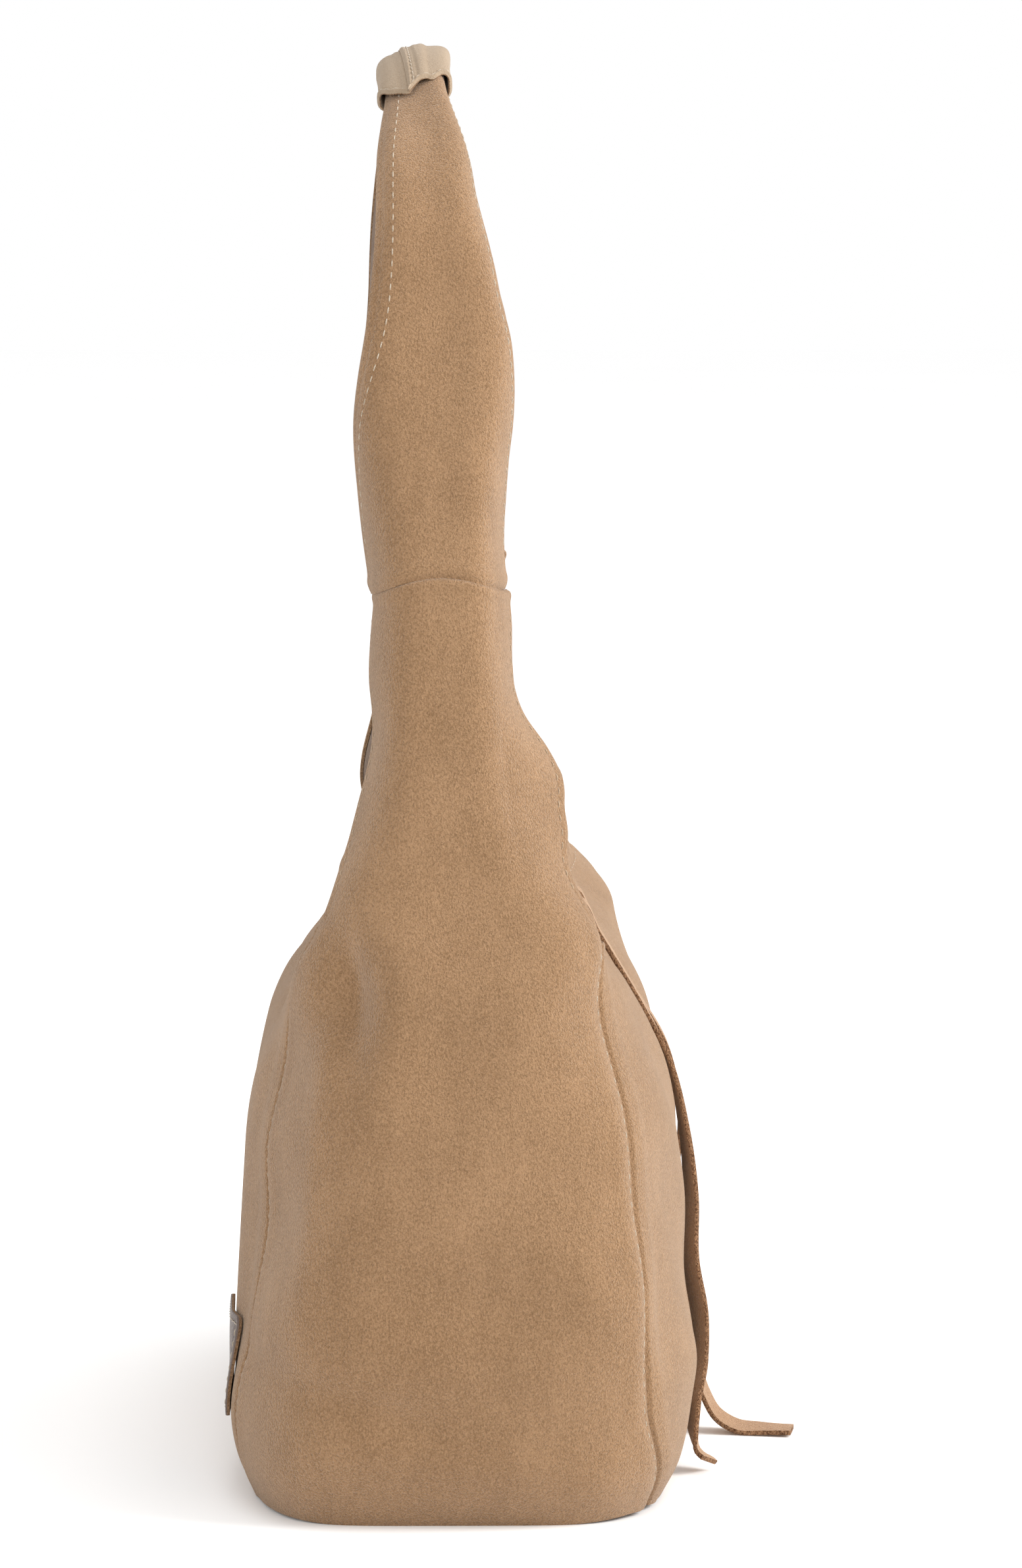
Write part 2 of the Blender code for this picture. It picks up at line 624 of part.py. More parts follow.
def tie_routes():
    """The two ties' routes, from the rim that each is sewn inside, over the front rim to the floor."""
    level = np.array([[RIM_HEIGHT]])
    front = panel_surface(-1)(np.array([[0.0]]), level)[0, 0, 1]
    back = panel_surface(1)(np.array([[0.0]]), level)[0, 0, 1]
    inside = SUEDE + FACING + 3 * PLY_GAP + TIE_THICKNESS / 2
    over = RIM_HEIGHT + TIE_THICKNESS / 2 + 2 * PLY_GAP
    stand_off = TIE_THICKNESS / 2 + 4 * PLY_GAP
    levels = RIM_HEIGHT * np.array([0.955, 0.90, 0.82, 0.72, 0.60, 0.48, 0.36, 0.26, 0.19])
    x = -0.026
    back_tie = [
        (x, back - inside, RIM_HEIGHT - 0.0200),
        (x, back - inside - 0.0035, RIM_HEIGHT - 0.0105),
        (x, back - inside - 0.0120, RIM_HEIGHT - 0.0030),
        (x, (front + back) / 2, RIM_HEIGHT - 0.0060),
        (x, front + 0.0160, RIM_HEIGHT + 0.0005),
        (x, front + 0.0060, over + 0.0030),
        (x, front - 0.0020, over + 0.0012),
    ]
    back_tie += hang_down_front(x, -0.066, stand_off, levels)
    back_tie += [(-0.068, -0.0862, 0.0230), (-0.071, -0.0868, 0.0120), (-0.0745, -0.0888, 0.0062)]
    back_tie += [(-0.0785, -0.0925, 0.0030)]
    x = 0.004
    front_tie = [
        (x, front + inside + 0.0005, RIM_HEIGHT - 0.0200),
        (x, front + inside + 0.0002, RIM_HEIGHT - 0.0080),
        (x, front + inside - 0.0008, RIM_HEIGHT + 0.0008),
        (x, front + 0.0008, over + 0.0016),
        (x, front - 0.0030, over - 0.0030),
    ]
    front_tie += hang_down_front(x, -0.012, stand_off, levels)
    front_tie += [(-0.0125, -0.0900, 0.0260), (-0.0140, -0.0938, 0.0142), (-0.0155, -0.0985, 0.0066)]
    front_tie += [(-0.0170, -0.1057, 0.0024), (-0.0185, -0.1150, 0.0018), (-0.0206, -0.1265, 0.0018)]
    return {"back_tie": back_tie, "front_tie": front_tie}


def evenly_spaced(points, step):
    """Points step apart along a smooth curve through the route's own points."""
    points = np.array(points, float)
    chords = np.linalg.norm(np.diff(points, axis=0), axis=1)
    place = np.concatenate([[0], np.cumsum(chords)])
    along = np.linspace(0, place[-1], int(place[-1] / step) + 1)
    return np.stack([smooth_curve(list(zip(place, points[:, k])))(along) for k in range(3)], axis=1)


def turns_to_lie_flat(line):
    """The turn at each point that keeps a lace's width along X, where it would drift with the curve."""
    headings = [Vector(step).normalized() for step in np.gradient(line, axis=0)]
    across = Vector((1, 0, 0))
    width = (across - headings[0] * across.dot(headings[0])).normalized()
    turns, before = [], headings[0]
    for heading in headings:
        width = before.rotation_difference(heading) @ width
        wanted = (across - heading * across.dot(heading)).normalized()
        turns.append(math.atan2(heading.dot(width.cross(wanted)), width.dot(wanted)))
        before = heading
    return turns


def make_ties(suede):
    for name, route in tie_routes().items():
        line = evenly_spaced(route, 0.0055)
        curve = bpy.data.curves.new(name, "CURVE")
        curve.dimensions = "3D"
        curve.twist_mode = "MINIMUM"
        curve.bevel_depth = TIE_THICKNESS / 2
        curve.extrude = TIE_WIDTH / 2 - TIE_THICKNESS / 2
        curve.bevel_resolution = 1
        curve.use_fill_caps = True
        spline = curve.splines.new("POLY")
        spline.points.add(len(line) - 1)
        for point, place, turn in zip(spline.points, line, turns_to_lie_flat(line)):
            point.co = (*place, 1.0)
            point.tilt = TIE_TILT + turn
        made = bpy.data.objects.new(name, curve)
        bpy.context.scene.collection.objects.link(made)
        curve.materials.append(suede)


TIE_TILT = math.radians(90)  # turns the lace's broad side to lie on the panel


# ---- Zip pocket on the back lining -------------------------------------------------------------------------------
# Everything here is built about the pocket's own frame: X along the zip, Z up the pocket, and -Y into
# the bag.
def make_zip_pocket(lining, facing, tape, metal, frame):
    chain_z = ZIP_POCKET_HEIGHT - ZIP_BELOW_TOP
    half_window, half_gap = ZIP_WINDOW_LENGTH / 2, ZIP_CHAIN_GAP / 2
    window = (chain_z - ZIP_WINDOW_HEIGHT / 2, chain_z + ZIP_WINDOW_HEIGHT / 2)
    sheet_face = -ZIP_SHEET

    def framed(work, half_width, low, high, y_low, y_high):
        """A plate with the zip's window through it."""
        outer = [(-half_width, low), (half_width, low), (half_width, high), (-half_width, high)]
        inner = [(-half_window, window[0]), (half_window, window[0])]
        inner += [(half_window, window[1]), (-half_window, window[1])]
        rings = [[work.verts.new((x, y, z)) for x, z in ring] for y in (y_low, y_high) for ring in (outer, inner)]
        for i in range(4):
            j = (i + 1) % 4
            for a, b in ((0, 1), (2, 3), (0, 2), (1, 3)):
                work.faces.new((rings[a][i], rings[a][j], rings[b][j], rings[b][i]))

    half = ZIP_POCKET_WIDTH / 2
    new_object(
        "zip_pocket",
        lambda w: framed(w, half, 0.0, ZIP_POCKET_HEIGHT, sheet_face, 0.0),
        lining,
        frame,
        smooth=False,
    )
    tape_back = sheet_face - PLY_GAP
    tape_front = tape_back - ZIP_TAPE
    reach = half_window + 0.004
    tape_out = ZIP_WINDOW_HEIGHT / 2 + 0.004
    for name, low, high in (
        ("zip_tape_lower", chain_z - tape_out, chain_z - half_gap),
        ("zip_tape_upper", chain_z + half_gap, chain_z + tape_out),
    ):
        new_object(
            name,
            lambda w: box(w, (-reach, tape_front, low), (reach, tape_back, high)),
            tape,
            frame,
            smooth=False,
        )
    border = ZIP_FRAME_BORDER
    frame_back = tape_front - PLY_GAP
    new_object(
        "zip_frame",
        lambda w: framed(
            w,
            half_window + border,
            window[0] - border,
            window[1] + border,
            frame_back - ZIP_FRAME_THICKNESS,
            frame_back,
        ),
        facing,
        frame,
        smooth=False,
    )
    chain_back = tape_front - 0.0001 - PLY_GAP / 2
    chain_front = chain_back - ZIP_CHAIN_THICKNESS
    pitch = (ZIP_WINDOW_LENGTH - 2 * ZIP_STOP_LENGTH - 0.004) / ZIP_TEETH
    for name, sign in (("zip_chain_lower", -1), ("zip_chain_upper", 1)):
        new_object(name, lambda w: toothed_bar(w, sign, chain_z, chain_back, chain_front, pitch), metal, frame, smooth=False)
    stop_x = half_window - ZIP_STOP_LENGTH - 0.0006
    for name, x in (("zip_stop_left", -stop_x - ZIP_STOP_LENGTH), ("zip_stop_right", stop_x)):
        low = (x, chain_front, chain_z - ZIP_CHAIN_HEIGHT - half_gap)
        high = (x + ZIP_STOP_LENGTH, chain_back, chain_z + ZIP_CHAIN_HEIGHT + half_gap)
        new_object(name, lambda w: box(w, low, high), metal, frame, smooth=False)
    make_slider(chain_z, chain_back, chain_front, -stop_x, metal, frame)


def toothed_bar(work, sign, chain_z, back, front, pitch):
    """Half a zip chain: a bar along its tape with a row of square teeth towards the other half."""
    near = ZIP_CHAIN_GAP / 2
    far = near + ZIP_CHAIN_HEIGHT
    root = near + 0.35 * ZIP_CHAIN_HEIGHT
    start = -ZIP_TEETH * pitch / 2
    outline = [(start, far)]
    for i in range(ZIP_TEETH):
        x = start + i * pitch
        outline += [(x, root), (x + 0.25 * pitch, root), (x + 0.25 * pitch, near)]
        outline += [(x + 0.75 * pitch, near), (x + 0.75 * pitch, root)]
    outline += [(-start, root), (-start, far)]
    prism(work, [(x, chain_z + sign * z) for x, z in outline], 1, front, back)


def make_slider(chain_z, back, front, left_stop, metal, frame):
    """The slider: an H in section whose web runs between the chain's halves, with a bridge on it."""
    plate_back = front - SLIDER_CLEARANCE
    plate_front = plate_back - SLIDER_PLATE
    start = left_stop + SLIDER_CLEARANCE
    half = SLIDER_HEIGHT / 2
    rear = back + ZIP_TAPE + PLY_GAP + SLIDER_CLEARANCE
    rear_plate = 0.0005
    web = SLIDER_WEB / 2
    outline = [
        (plate_front, chain_z - half),
        (plate_back, chain_z - half),
        (plate_back, chain_z - web),
        (rear, chain_z - web),
        (rear, chain_z - half),
        (rear + rear_plate, chain_z - half),
        (rear + rear_plate, chain_z + half),
        (rear, chain_z + half),
        (rear, chain_z + web),
        (plate_back, chain_z + web),
        (plate_back, chain_z + half),
        (plate_front, chain_z + half),
    ]

    def mesh(work):
        prism(work, outline, 0, start, start + SLIDER_LENGTH)

    slider = new_object("zip_slider", mesh, metal, frame, smooth=False)
    middle_x = start + SLIDER_LENGTH / 2
    foot = plate_front + 0.0003
    crown = plate_front - BRIDGE_RISE
    arch = [
        (middle_x - BRIDGE_LENGTH / 2, foot),
        (middle_x - BRIDGE_LENGTH / 2, crown + BRIDGE_BAR),
        (middle_x - BRIDGE_LENGTH / 2 + BRIDGE_BAR, crown),
        (middle_x + BRIDGE_LENGTH / 2 - BRIDGE_BAR, crown),
        (middle_x + BRIDGE_LENGTH / 2, crown + BRIDGE_BAR),
        (middle_x + BRIDGE_LENGTH / 2, foot),
        (middle_x + BRIDGE_LENGTH / 2 - BRIDGE_BAR, foot),
        (middle_x + BRIDGE_LENGTH / 2 - BRIDGE_BAR, crown + BRIDGE_BAR),
        (middle_x - BRIDGE_LENGTH / 2 + BRIDGE_BAR, crown + BRIDGE_BAR),
        (middle_x - BRIDGE_LENGTH / 2 + BRIDGE_BAR, foot),
    ]

    def bridge_mesh(work):
        prism(work, arch, 2, chain_z - BRIDGE_WIDTH / 2, chain_z + BRIDGE_WIDTH / 2)

    bridge = new_object("bridge_shape", bridge_mesh, metal, frame, smooth=False)
    bridge.hide_render = True
    bridge.display_type = "WIRE"
    join = slider.modifiers.new("bridge", "BOOLEAN")
    join.operation = "UNION"
    join.object = bridge
    make_puller(chain_z, middle_x, (plate_front + crown + BRIDGE_BAR) / 2, metal, frame)


def make_puller(chain_z, x, y, metal, frame):
    """The pull tab: a plate with an eye whose end bar sits under the bridge, on its own hinge axis."""
    hinge = bpy.data.objects.new("puller_axis", None)
    bpy.context.scene.collection.objects.link(hinge)
    hinge.parent = frame
    hinge.location = (x, y, chain_z)
    bar = PULLER_BAR
    half_eye, half = PULLER_EYE_WIDTH / 2, PULLER_WIDTH / 2
    outer = [(-bar / 2, -half), (PULLER_LENGTH - 0.002, -half), (PULLER_LENGTH, -half + 0.002)]
    outer += [(PULLER_LENGTH, half - 0.002), (PULLER_LENGTH - 0.002, half), (-bar / 2, half)]
    inner = [(bar / 2, -half_eye), (bar / 2 + PULLER_EYE_LENGTH, -half_eye)]
    inner += [(bar / 2 + PULLER_EYE_LENGTH, half_eye), (bar / 2, half_eye)]

    def mesh(work):
        layers = []
        for level in (-bar / 2, bar / 2):
            ring = [work.verts.new((px, level, pz)) for px, pz in outer]
            eye = [work.verts.new((px, level, pz)) for px, pz in inner]
            layers.append((ring, eye))
            work.faces.new((ring[0], ring[1], eye[1], eye[0]))
            work.faces.new((ring[1], ring[2], ring[3], ring[4], eye[2], eye[1]))
            work.faces.new((ring[4], ring[5], eye[3], eye[2]))
            work.faces.new((ring[5], ring[0], eye[0], eye[3]))
        for k, count in ((0, 6), (1, 4)):
            low, high = layers[0][k], layers[1][k]
            for i in range(count):
                j = (i + 1) % count
                work.faces.new((low[i], low[j], high[j], high[i]))

    new_object("zip_puller", mesh, metal, hinge, smooth=False)


PULLER_BAR = 0.0008


def pocket_frame(back):
    """The zip pocket's frame: its corners seat on the back lining, top and bottom, and it leans so."""
    frame = bpy.data.objects.new("zip_pocket_frame", None)
    bpy.context.scene.collection.objects.link(frame)
    top = ZIP_POCKET_LOW + ZIP_POCKET_HEIGHT + RIM_CORNER_HEIGHT - RIM_HEIGHT
    rows = lines_from(row_at(ZIP_POCKET_LOW), row_at(top))
    faces = back.layer(rows, np.linspace(0, PANEL_COLUMNS - 1, 161), SUEDE + PLY_GAP + LINING)
    x, y, z = np.moveaxis(faces, -1, 0)
    wall = np.where(abs(x) < ZIP_POCKET_WIDTH / 2 + 0.001, y, np.inf)
    lean = math.atan2(wall[0].min() - wall[-1].min(), top - ZIP_POCKET_LOW)
    leaned = wall + (z - ZIP_POCKET_LOW) * math.tan(lean)
    frame.location = (0.0, leaned.min() - PLY_GAP, ZIP_POCKET_LOW)
    frame.rotation_euler = (lean, 0.0, 0.0)
    return frame


def main():
    clear_scene()
    suede = material("suede", SUEDE_COLOUR, 0.95)
    sleeve = material("brushed_suede", SLEEVE_COLOUR, 0.85)
    facing = material("facing", FACING_COLOUR, 0.9)
    lining = material("lining", LINING_COLOUR, 0.9)
    patch = material("patch", PATCH_COLOUR, 0.55)
    board = material("board", BOARD_COLOUR, 0.8)
    metal = material("metal", METAL_COLOUR, 0.3, 1.0)
    tape = material("tape", TAPE_COLOUR, 0.85)
    skins = {"gusset": gusset_skin(), "front": panel_skin(-1), "back": panel_skin(1)}
    make_outer(skins, suede)
    make_base(suede, board, lining)
    make_facings_and_linings(skins, facing, lining)
    make_patch_and_slip_pocket(skins, patch, lining)
    make_strap(suede)
    make_sleeve(sleeve)
    make_ties(suede)
    make_zip_pocket(lining, facing, tape, metal, pocket_frame(skins["back"]))


main()
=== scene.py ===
import math

import bpy
import numpy as np
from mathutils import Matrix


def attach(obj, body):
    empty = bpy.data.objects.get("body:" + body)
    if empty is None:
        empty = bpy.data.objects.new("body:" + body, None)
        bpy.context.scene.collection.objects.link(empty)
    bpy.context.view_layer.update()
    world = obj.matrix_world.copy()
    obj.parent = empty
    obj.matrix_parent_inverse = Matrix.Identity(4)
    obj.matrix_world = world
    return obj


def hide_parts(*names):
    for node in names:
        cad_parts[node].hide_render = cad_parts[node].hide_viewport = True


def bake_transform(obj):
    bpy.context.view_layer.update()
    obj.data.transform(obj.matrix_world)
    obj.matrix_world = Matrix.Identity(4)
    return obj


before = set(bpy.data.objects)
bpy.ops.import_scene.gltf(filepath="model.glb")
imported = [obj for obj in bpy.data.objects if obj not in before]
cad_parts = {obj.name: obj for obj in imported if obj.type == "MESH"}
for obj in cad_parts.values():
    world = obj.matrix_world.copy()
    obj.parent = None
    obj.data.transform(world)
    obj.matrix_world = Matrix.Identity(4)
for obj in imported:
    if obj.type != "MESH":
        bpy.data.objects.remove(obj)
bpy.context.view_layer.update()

# ---- Studio --------------------------------------------------------------------------------------
# A plain pale floor under one broad soft light on the bag's front side, a weaker one behind it and
# a bright even surround, seen from the bag's left end, a little above its mouth.
CAMERA_PLACE = (-2.0, 0.0, 0.498)
CAMERA_AIM = (0.0, -0.0206, 0.245)
CAMERA_LENS = 123.3
FLOOR_HALF = 9.0

scene = bpy.context.scene
scene.view_settings.view_transform = "Standard"
scene.view_settings.look = "None"


def placed(name, data, place, aim):
    """An object at a place, turned so that its -Z points at aim with its Y upwards."""
    made = bpy.data.objects.new(name, data)
    scene.collection.objects.link(made)
    made.location = place
    toward = type(made.location)(aim) - made.location
    made.rotation_euler = toward.to_track_quat("-Z", "Y").to_euler()
    return made


lens = bpy.data.cameras.new("studio_camera")
lens.sensor_fit = "VERTICAL"
lens.sensor_height = 36.0
lens.lens = CAMERA_LENS
scene.camera = placed("studio_camera", lens, CAMERA_PLACE, CAMERA_AIM)

for name, place, aim, size, power in (
    ("key_light", (-0.45, -2.2, 1.5), (0.0, 0.0, 0.25), 1.1, 62.0),
    ("fill_light", (-2.6, 0.1, 0.9), (0.0, 0.0, 0.25), 1.2, 9.0),
    ("top_light", (0.0, -0.3, 2.6), (0.0, 0.0, 0.0), 1.6, 14.0),
):
    lamp = bpy.data.lights.new(name, "AREA")
    lamp.size = size
    lamp.energy = power
    placed(name, lamp, place, aim)

surround = bpy.data.worlds.new("surround")
surround.use_nodes = True
surround.node_tree.nodes["Background"].inputs["Color"].default_value = (1.0, 1.0, 1.0, 1.0)
surround.node_tree.nodes["Background"].inputs["Strength"].default_value = 1.0
scene.world = surround


class Signal:
    """One socket of a material's nodes: arithmetic on it adds the Math nodes that work it out."""

    def __init__(self, tree, socket):
        self.tree, self.socket = tree, socket

    def math(self, operation, first, second):
        node = self.tree.nodes.new("ShaderNodeMath")
        node.operation = operation
        feed(self.tree, node.inputs[0], first)
        feed(self.tree, node.inputs[1], second)
        return Signal(self.tree, node.outputs[0])

    def __add__(self, other):
        return self.math("ADD", self, other)

    def __radd__(self, other):
        return self.math("ADD", other, self)

    def __sub__(self, other):
        return self.math("SUBTRACT", self, other)

    def __rsub__(self, other):
        return self.math("SUBTRACT", other, self)

    def __mul__(self, other):
        return self.math("MULTIPLY", self, other)

    def __rmul__(self, other):
        return self.math("MULTIPLY", other, self)


def feed(tree, socket, value):
    """Links a signal to a socket, or sets the socket to a plain value."""
    if isinstance(value, Signal):
        tree.links.new(value.socket, socket)
    elif value is not None:
        socket.default_value = value


class Finish:
    """A material being made: constants go on its shader's own sockets, and node() adds the rest."""

    def __init__(self, name, **constants):
        self.material = bpy.data.materials.new(name)
        self.material.use_nodes = True
        self.tree = self.material.node_tree
        self.shader = self.tree.nodes["Principled BSDF"]
        for socket, value in constants.items():
            self.shader.inputs[socket.replace("_", " ")].default_value = value

    def node(self, kind, settings, sockets, output=0):
        """Adds one node of a kind, sets its settings, then feeds its sockets, and gives an output."""
        node = self.tree.nodes.new(kind)
        for key, value in settings.items():
            if key == "stops":
                for _ in range(len(value) - 2):
                    node.color_ramp.elements.new(0.5)
                for stop, (place, colour) in zip(node.color_ramp.elements, value):
                    stop.position, stop.color = place, colour
            else:
                setattr(node, key, value)
        for key, value in sockets.items():
            feed(self.tree, node.inputs[key], value)
        return Signal(self.tree, node.outputs[output])

    def math(self, operation, value):
        return self.node("ShaderNodeMath", {"operation": operation}, {0: value})

    def place(self, scale=(1.0, 1.0, 1.0), turn=(0.0, 0.0, 0.0)):
        """The point's place on the piece, stretched and turned."""
        at = self.node("ShaderNodeTexCoord", {}, {}, "Object")
        return self.node("ShaderNodeMapping", {}, {"Vector": at, "Scale": scale, "Rotation": turn})

    def noise(self, at, scale, detail=2.0, roughness=0.5, distortion=0.0):
        sockets = {"Vector": at, "Scale": scale, "Detail": detail, "Roughness": roughness}
        return self.node("ShaderNodeTexNoise", {}, {**sockets, "Distortion": distortion}, "Fac")

    def band(self, value, low, high):
        """0 below low and 1 above high, eased between them."""
        settings = {"interpolation_type": "SMOOTHSTEP"}
        sockets = {"Value": value, "From Min": low, "From Max": high}
        return self.node("ShaderNodeMapRange", settings, sockets)

    def mix(self, share, first, second):
        """A colour that goes from the first to the second as share goes from 0 to 1."""
        node = self.tree.nodes.new("ShaderNodeMix")
        node.data_type = "RGBA"
        for socket, value in ((0, share), (6, first), (7, second)):
            feed(self.tree, node.inputs[socket], value)
        return Signal(self.tree, node.outputs[2])

    def relief(self, height, depth, strength=1.0):
        """A bump from a height of 0 to 1, depth metres deep, on the shader's normal."""
        sockets = {"Height": height, "Distance": depth, "Strength": strength}
        feed(self.tree, self.shader.inputs["Normal"], self.node("ShaderNodeBump", {}, sockets))

    def pores(self, scale, edge, depth, strength):
        """A leather's pores, 0 in the grooves between its cells: relief and a roughness mask."""
        sockets = {"Vector": self.place(), "Scale": scale}
        cells = self.node("ShaderNodeTexVoronoi", {"feature": "DISTANCE_TO_EDGE"}, sockets)
        mask = self.band(cells, 0.0, edge)
        self.relief(mask, depth, strength)
        return mask

    def colour(self, value):
        feed(self.tree, self.shader.inputs["Base Color"], value)

    def roughness(self, value):
        feed(self.tree, self.shader.inputs["Roughness"], value)


def paint(r, g, b):
    return (r, g, b, 1.0)


paper = Finish("pale_paper", Roughness=0.9)
fibre = paper.noise(paper.place(), 3.0)
paper.colour(paper.mix(fibre, paint(0.985, 0.985, 0.985), paint(1.0, 1.0, 1.0)))
floor_mesh = bpy.data.meshes.new("floor")
floor_corners = [(i * FLOOR_HALF, j * FLOOR_HALF, 0.0) for i, j in ((-1, -1), (1, -1), (1, 1), (-1, 1))]
floor_mesh.from_pydata(floor_corners, [], [(0, 1, 2, 3)])
floor_mesh.materials.append(paper.material)
floor = bpy.data.objects.new("floor", floor_mesh)
scene.collection.objects.link(floor)

# ---- Body: two gussets, front and back panels ----------------------------------------------------
# Four pieces of napped suede, sewn edge to edge with the seams turned in, then topstitched on the
# gussets. The gussets run on above the mouth as the two necks. The empty leather slumps and creases.
BAG_LENGTH = 0.326
BAG_DEPTH = 0.168
SEAM_HEIGHT = 0.333
NECK_WIDTH = 0.0506
RIM_HEIGHT = 0.200
RIM_CORNER_HEIGHT = 0.210
RIM_PINCH = 0.33
FRONT_RIM_PINCH = 0.20
PINCH_START = 0.60
PINCH_LENGTH = 0.062
SEAM_RADIUS = 0.046
SEAM_ARCH_START = 0.72
NECK_SHIFT = 0.0050
SEAM_GAP = 0.0004
SUEDE = 0.0016
# Knots by share of the seam height: half length and half depth as shares of the bag's, or of the
# neck's width in NECK_PROFILE, then the section's exponent, how far in from the end the gussets'
# front and back seams run, and how far back the section's middle stands
END_PROFILE = [(0.0, 0.925), (0.035, 0.958), (0.15, 1.0), (0.30, 1.0), (0.53, 0.920)]
END_PROFILE += [(0.65, 0.859), (0.75, 0.810), (0.87, 0.767), (1.0, 0.718)]
SIDE_PROFILE = [(0.0, 0.90), (0.03, 0.955), (0.135, 1.0), (0.32, 0.990), (0.45, 0.917)]
SIDE_PROFILE += [(0.53, 0.810), (0.60, 0.680), (0.65, 0.577)]
NECK_PROFILE = [(0.73, 1.62), (0.81, 1.36), (0.87, 1.17), (0.94, 1.03), (1.0, 1.0)]
SQUARENESS = [(0.0, 5.4), (0.06, 4.9), (0.15, 4.6), (0.30, 3.9), (0.65, 4.2), (1.0, 5.0)]
GUSSET_EDGE = [(0.0, 0.0190), (0.06, 0.0165), (0.12, 0.0125), (0.15, 0.0120), (0.225, 0.0130)]
GUSSET_EDGE += [(0.33, 0.0140), (0.43, 0.0145), (0.50, 0.0165), (0.57, 0.0175), (0.65, 0.0190)]
GUSSET_EDGE += [(0.76, 0.0225), (0.88, 0.0270), (1.0, 0.0300)]
GUSSET_BACK_EDGE = [(0.0, 0.0480), (0.15, 0.0480), (0.30, 0.0470), (0.45, 0.0440), (0.53, 0.0400)]
GUSSET_BACK_EDGE += [(0.58, 0.0330), (0.62, 0.0230), (0.65, 0.0190), (0.76, 0.0225)]
GUSSET_BACK_EDGE += [(0.88, 0.0270), (1.0, 0.0300)]
MIDDLE_LINE = [(0.0, -0.0010), (0.12, -0.0026), (0.26, -0.0046), (0.39, -0.0036), (0.53, -0.0008)]
MIDDLE_LINE += [(0.63, 0.0010), (0.78, 0.0034), (1.0, NECK_SHIFT)]


def smooth_curve(knots):
    """A cubic through (place, value) knots whose slope at each is that of its neighbours."""
    place, value = np.array(knots, float).T
    slope = np.gradient(value, place)

    def at(x):
        i = np.clip(np.searchsorted(place, x, side="right") - 1, 0, len(place) - 2)
        step = place[i + 1] - place[i]
        s = np.clip((x - place[i]) / step, 0.0, 1.0)
        lift = s * (1 - s) * ((1 - s) * slope[i] - s * slope[i + 1]) * step
        return value[i] + (3 - 2 * s) * s * s * (value[i + 1] - value[i]) + lift

    return at


def ease(x, start, end):
    """0 before start and 1 after end, with a cubic between them that is level at both."""
    s = np.clip((x - start) / (end - start), 0.0, 1.0)
    return s * s * (3 - 2 * s)


def bell(x, centre, width):
    """1 at the centre, falling off on both sides as a Gaussian of that width."""
    return np.exp(-(((x - centre) / width) ** 2))


end_share = smooth_curve(END_PROFILE)
side_share = smooth_curve(SIDE_PROFILE + [(p, w * NECK_WIDTH / BAG_DEPTH) for p, w in NECK_PROFILE])
squareness = smooth_curve(SQUARENESS)
edge_distance = smooth_curve(GUSSET_EDGE)
back_edge_distance = smooth_curve(GUSSET_BACK_EDGE)
middle_line = smooth_curve(MIDDLE_LINE)


def section(h):
    """Half length, half depth, squareness and middle of the bag's section at height h."""
    level = h / SEAM_HEIGHT
    a, b = end_share(level) * BAG_LENGTH / 2, side_share(level) * BAG_DEPTH / 2
    return a, b, squareness(level), middle_line(level)


def seam_x(h, side):
    """How far along the bag the gusset's front (side -1) or back (side 1) seam runs at height h."""
    level = h / SEAM_HEIGHT
    return section(h)[0] - np.where(side > 0, back_edge_distance(level), edge_distance(level))


def drawn_in(x, h, side):
    """The share of its depth that the mouth keeps where it is drawn in at mid length, which is more at
    the front (side -1) than at the back (side 1)."""
    rise = np.clip((h / RIM_HEIGHT - PINCH_START) / (1 - PINCH_START), 0.0, 1.0)
    pinch = np.where(side < 0, FRONT_RIM_PINCH, RIM_PINCH)
    return 1 - pinch * rise**2 * bell(x, 0.0, PINCH_LENGTH)


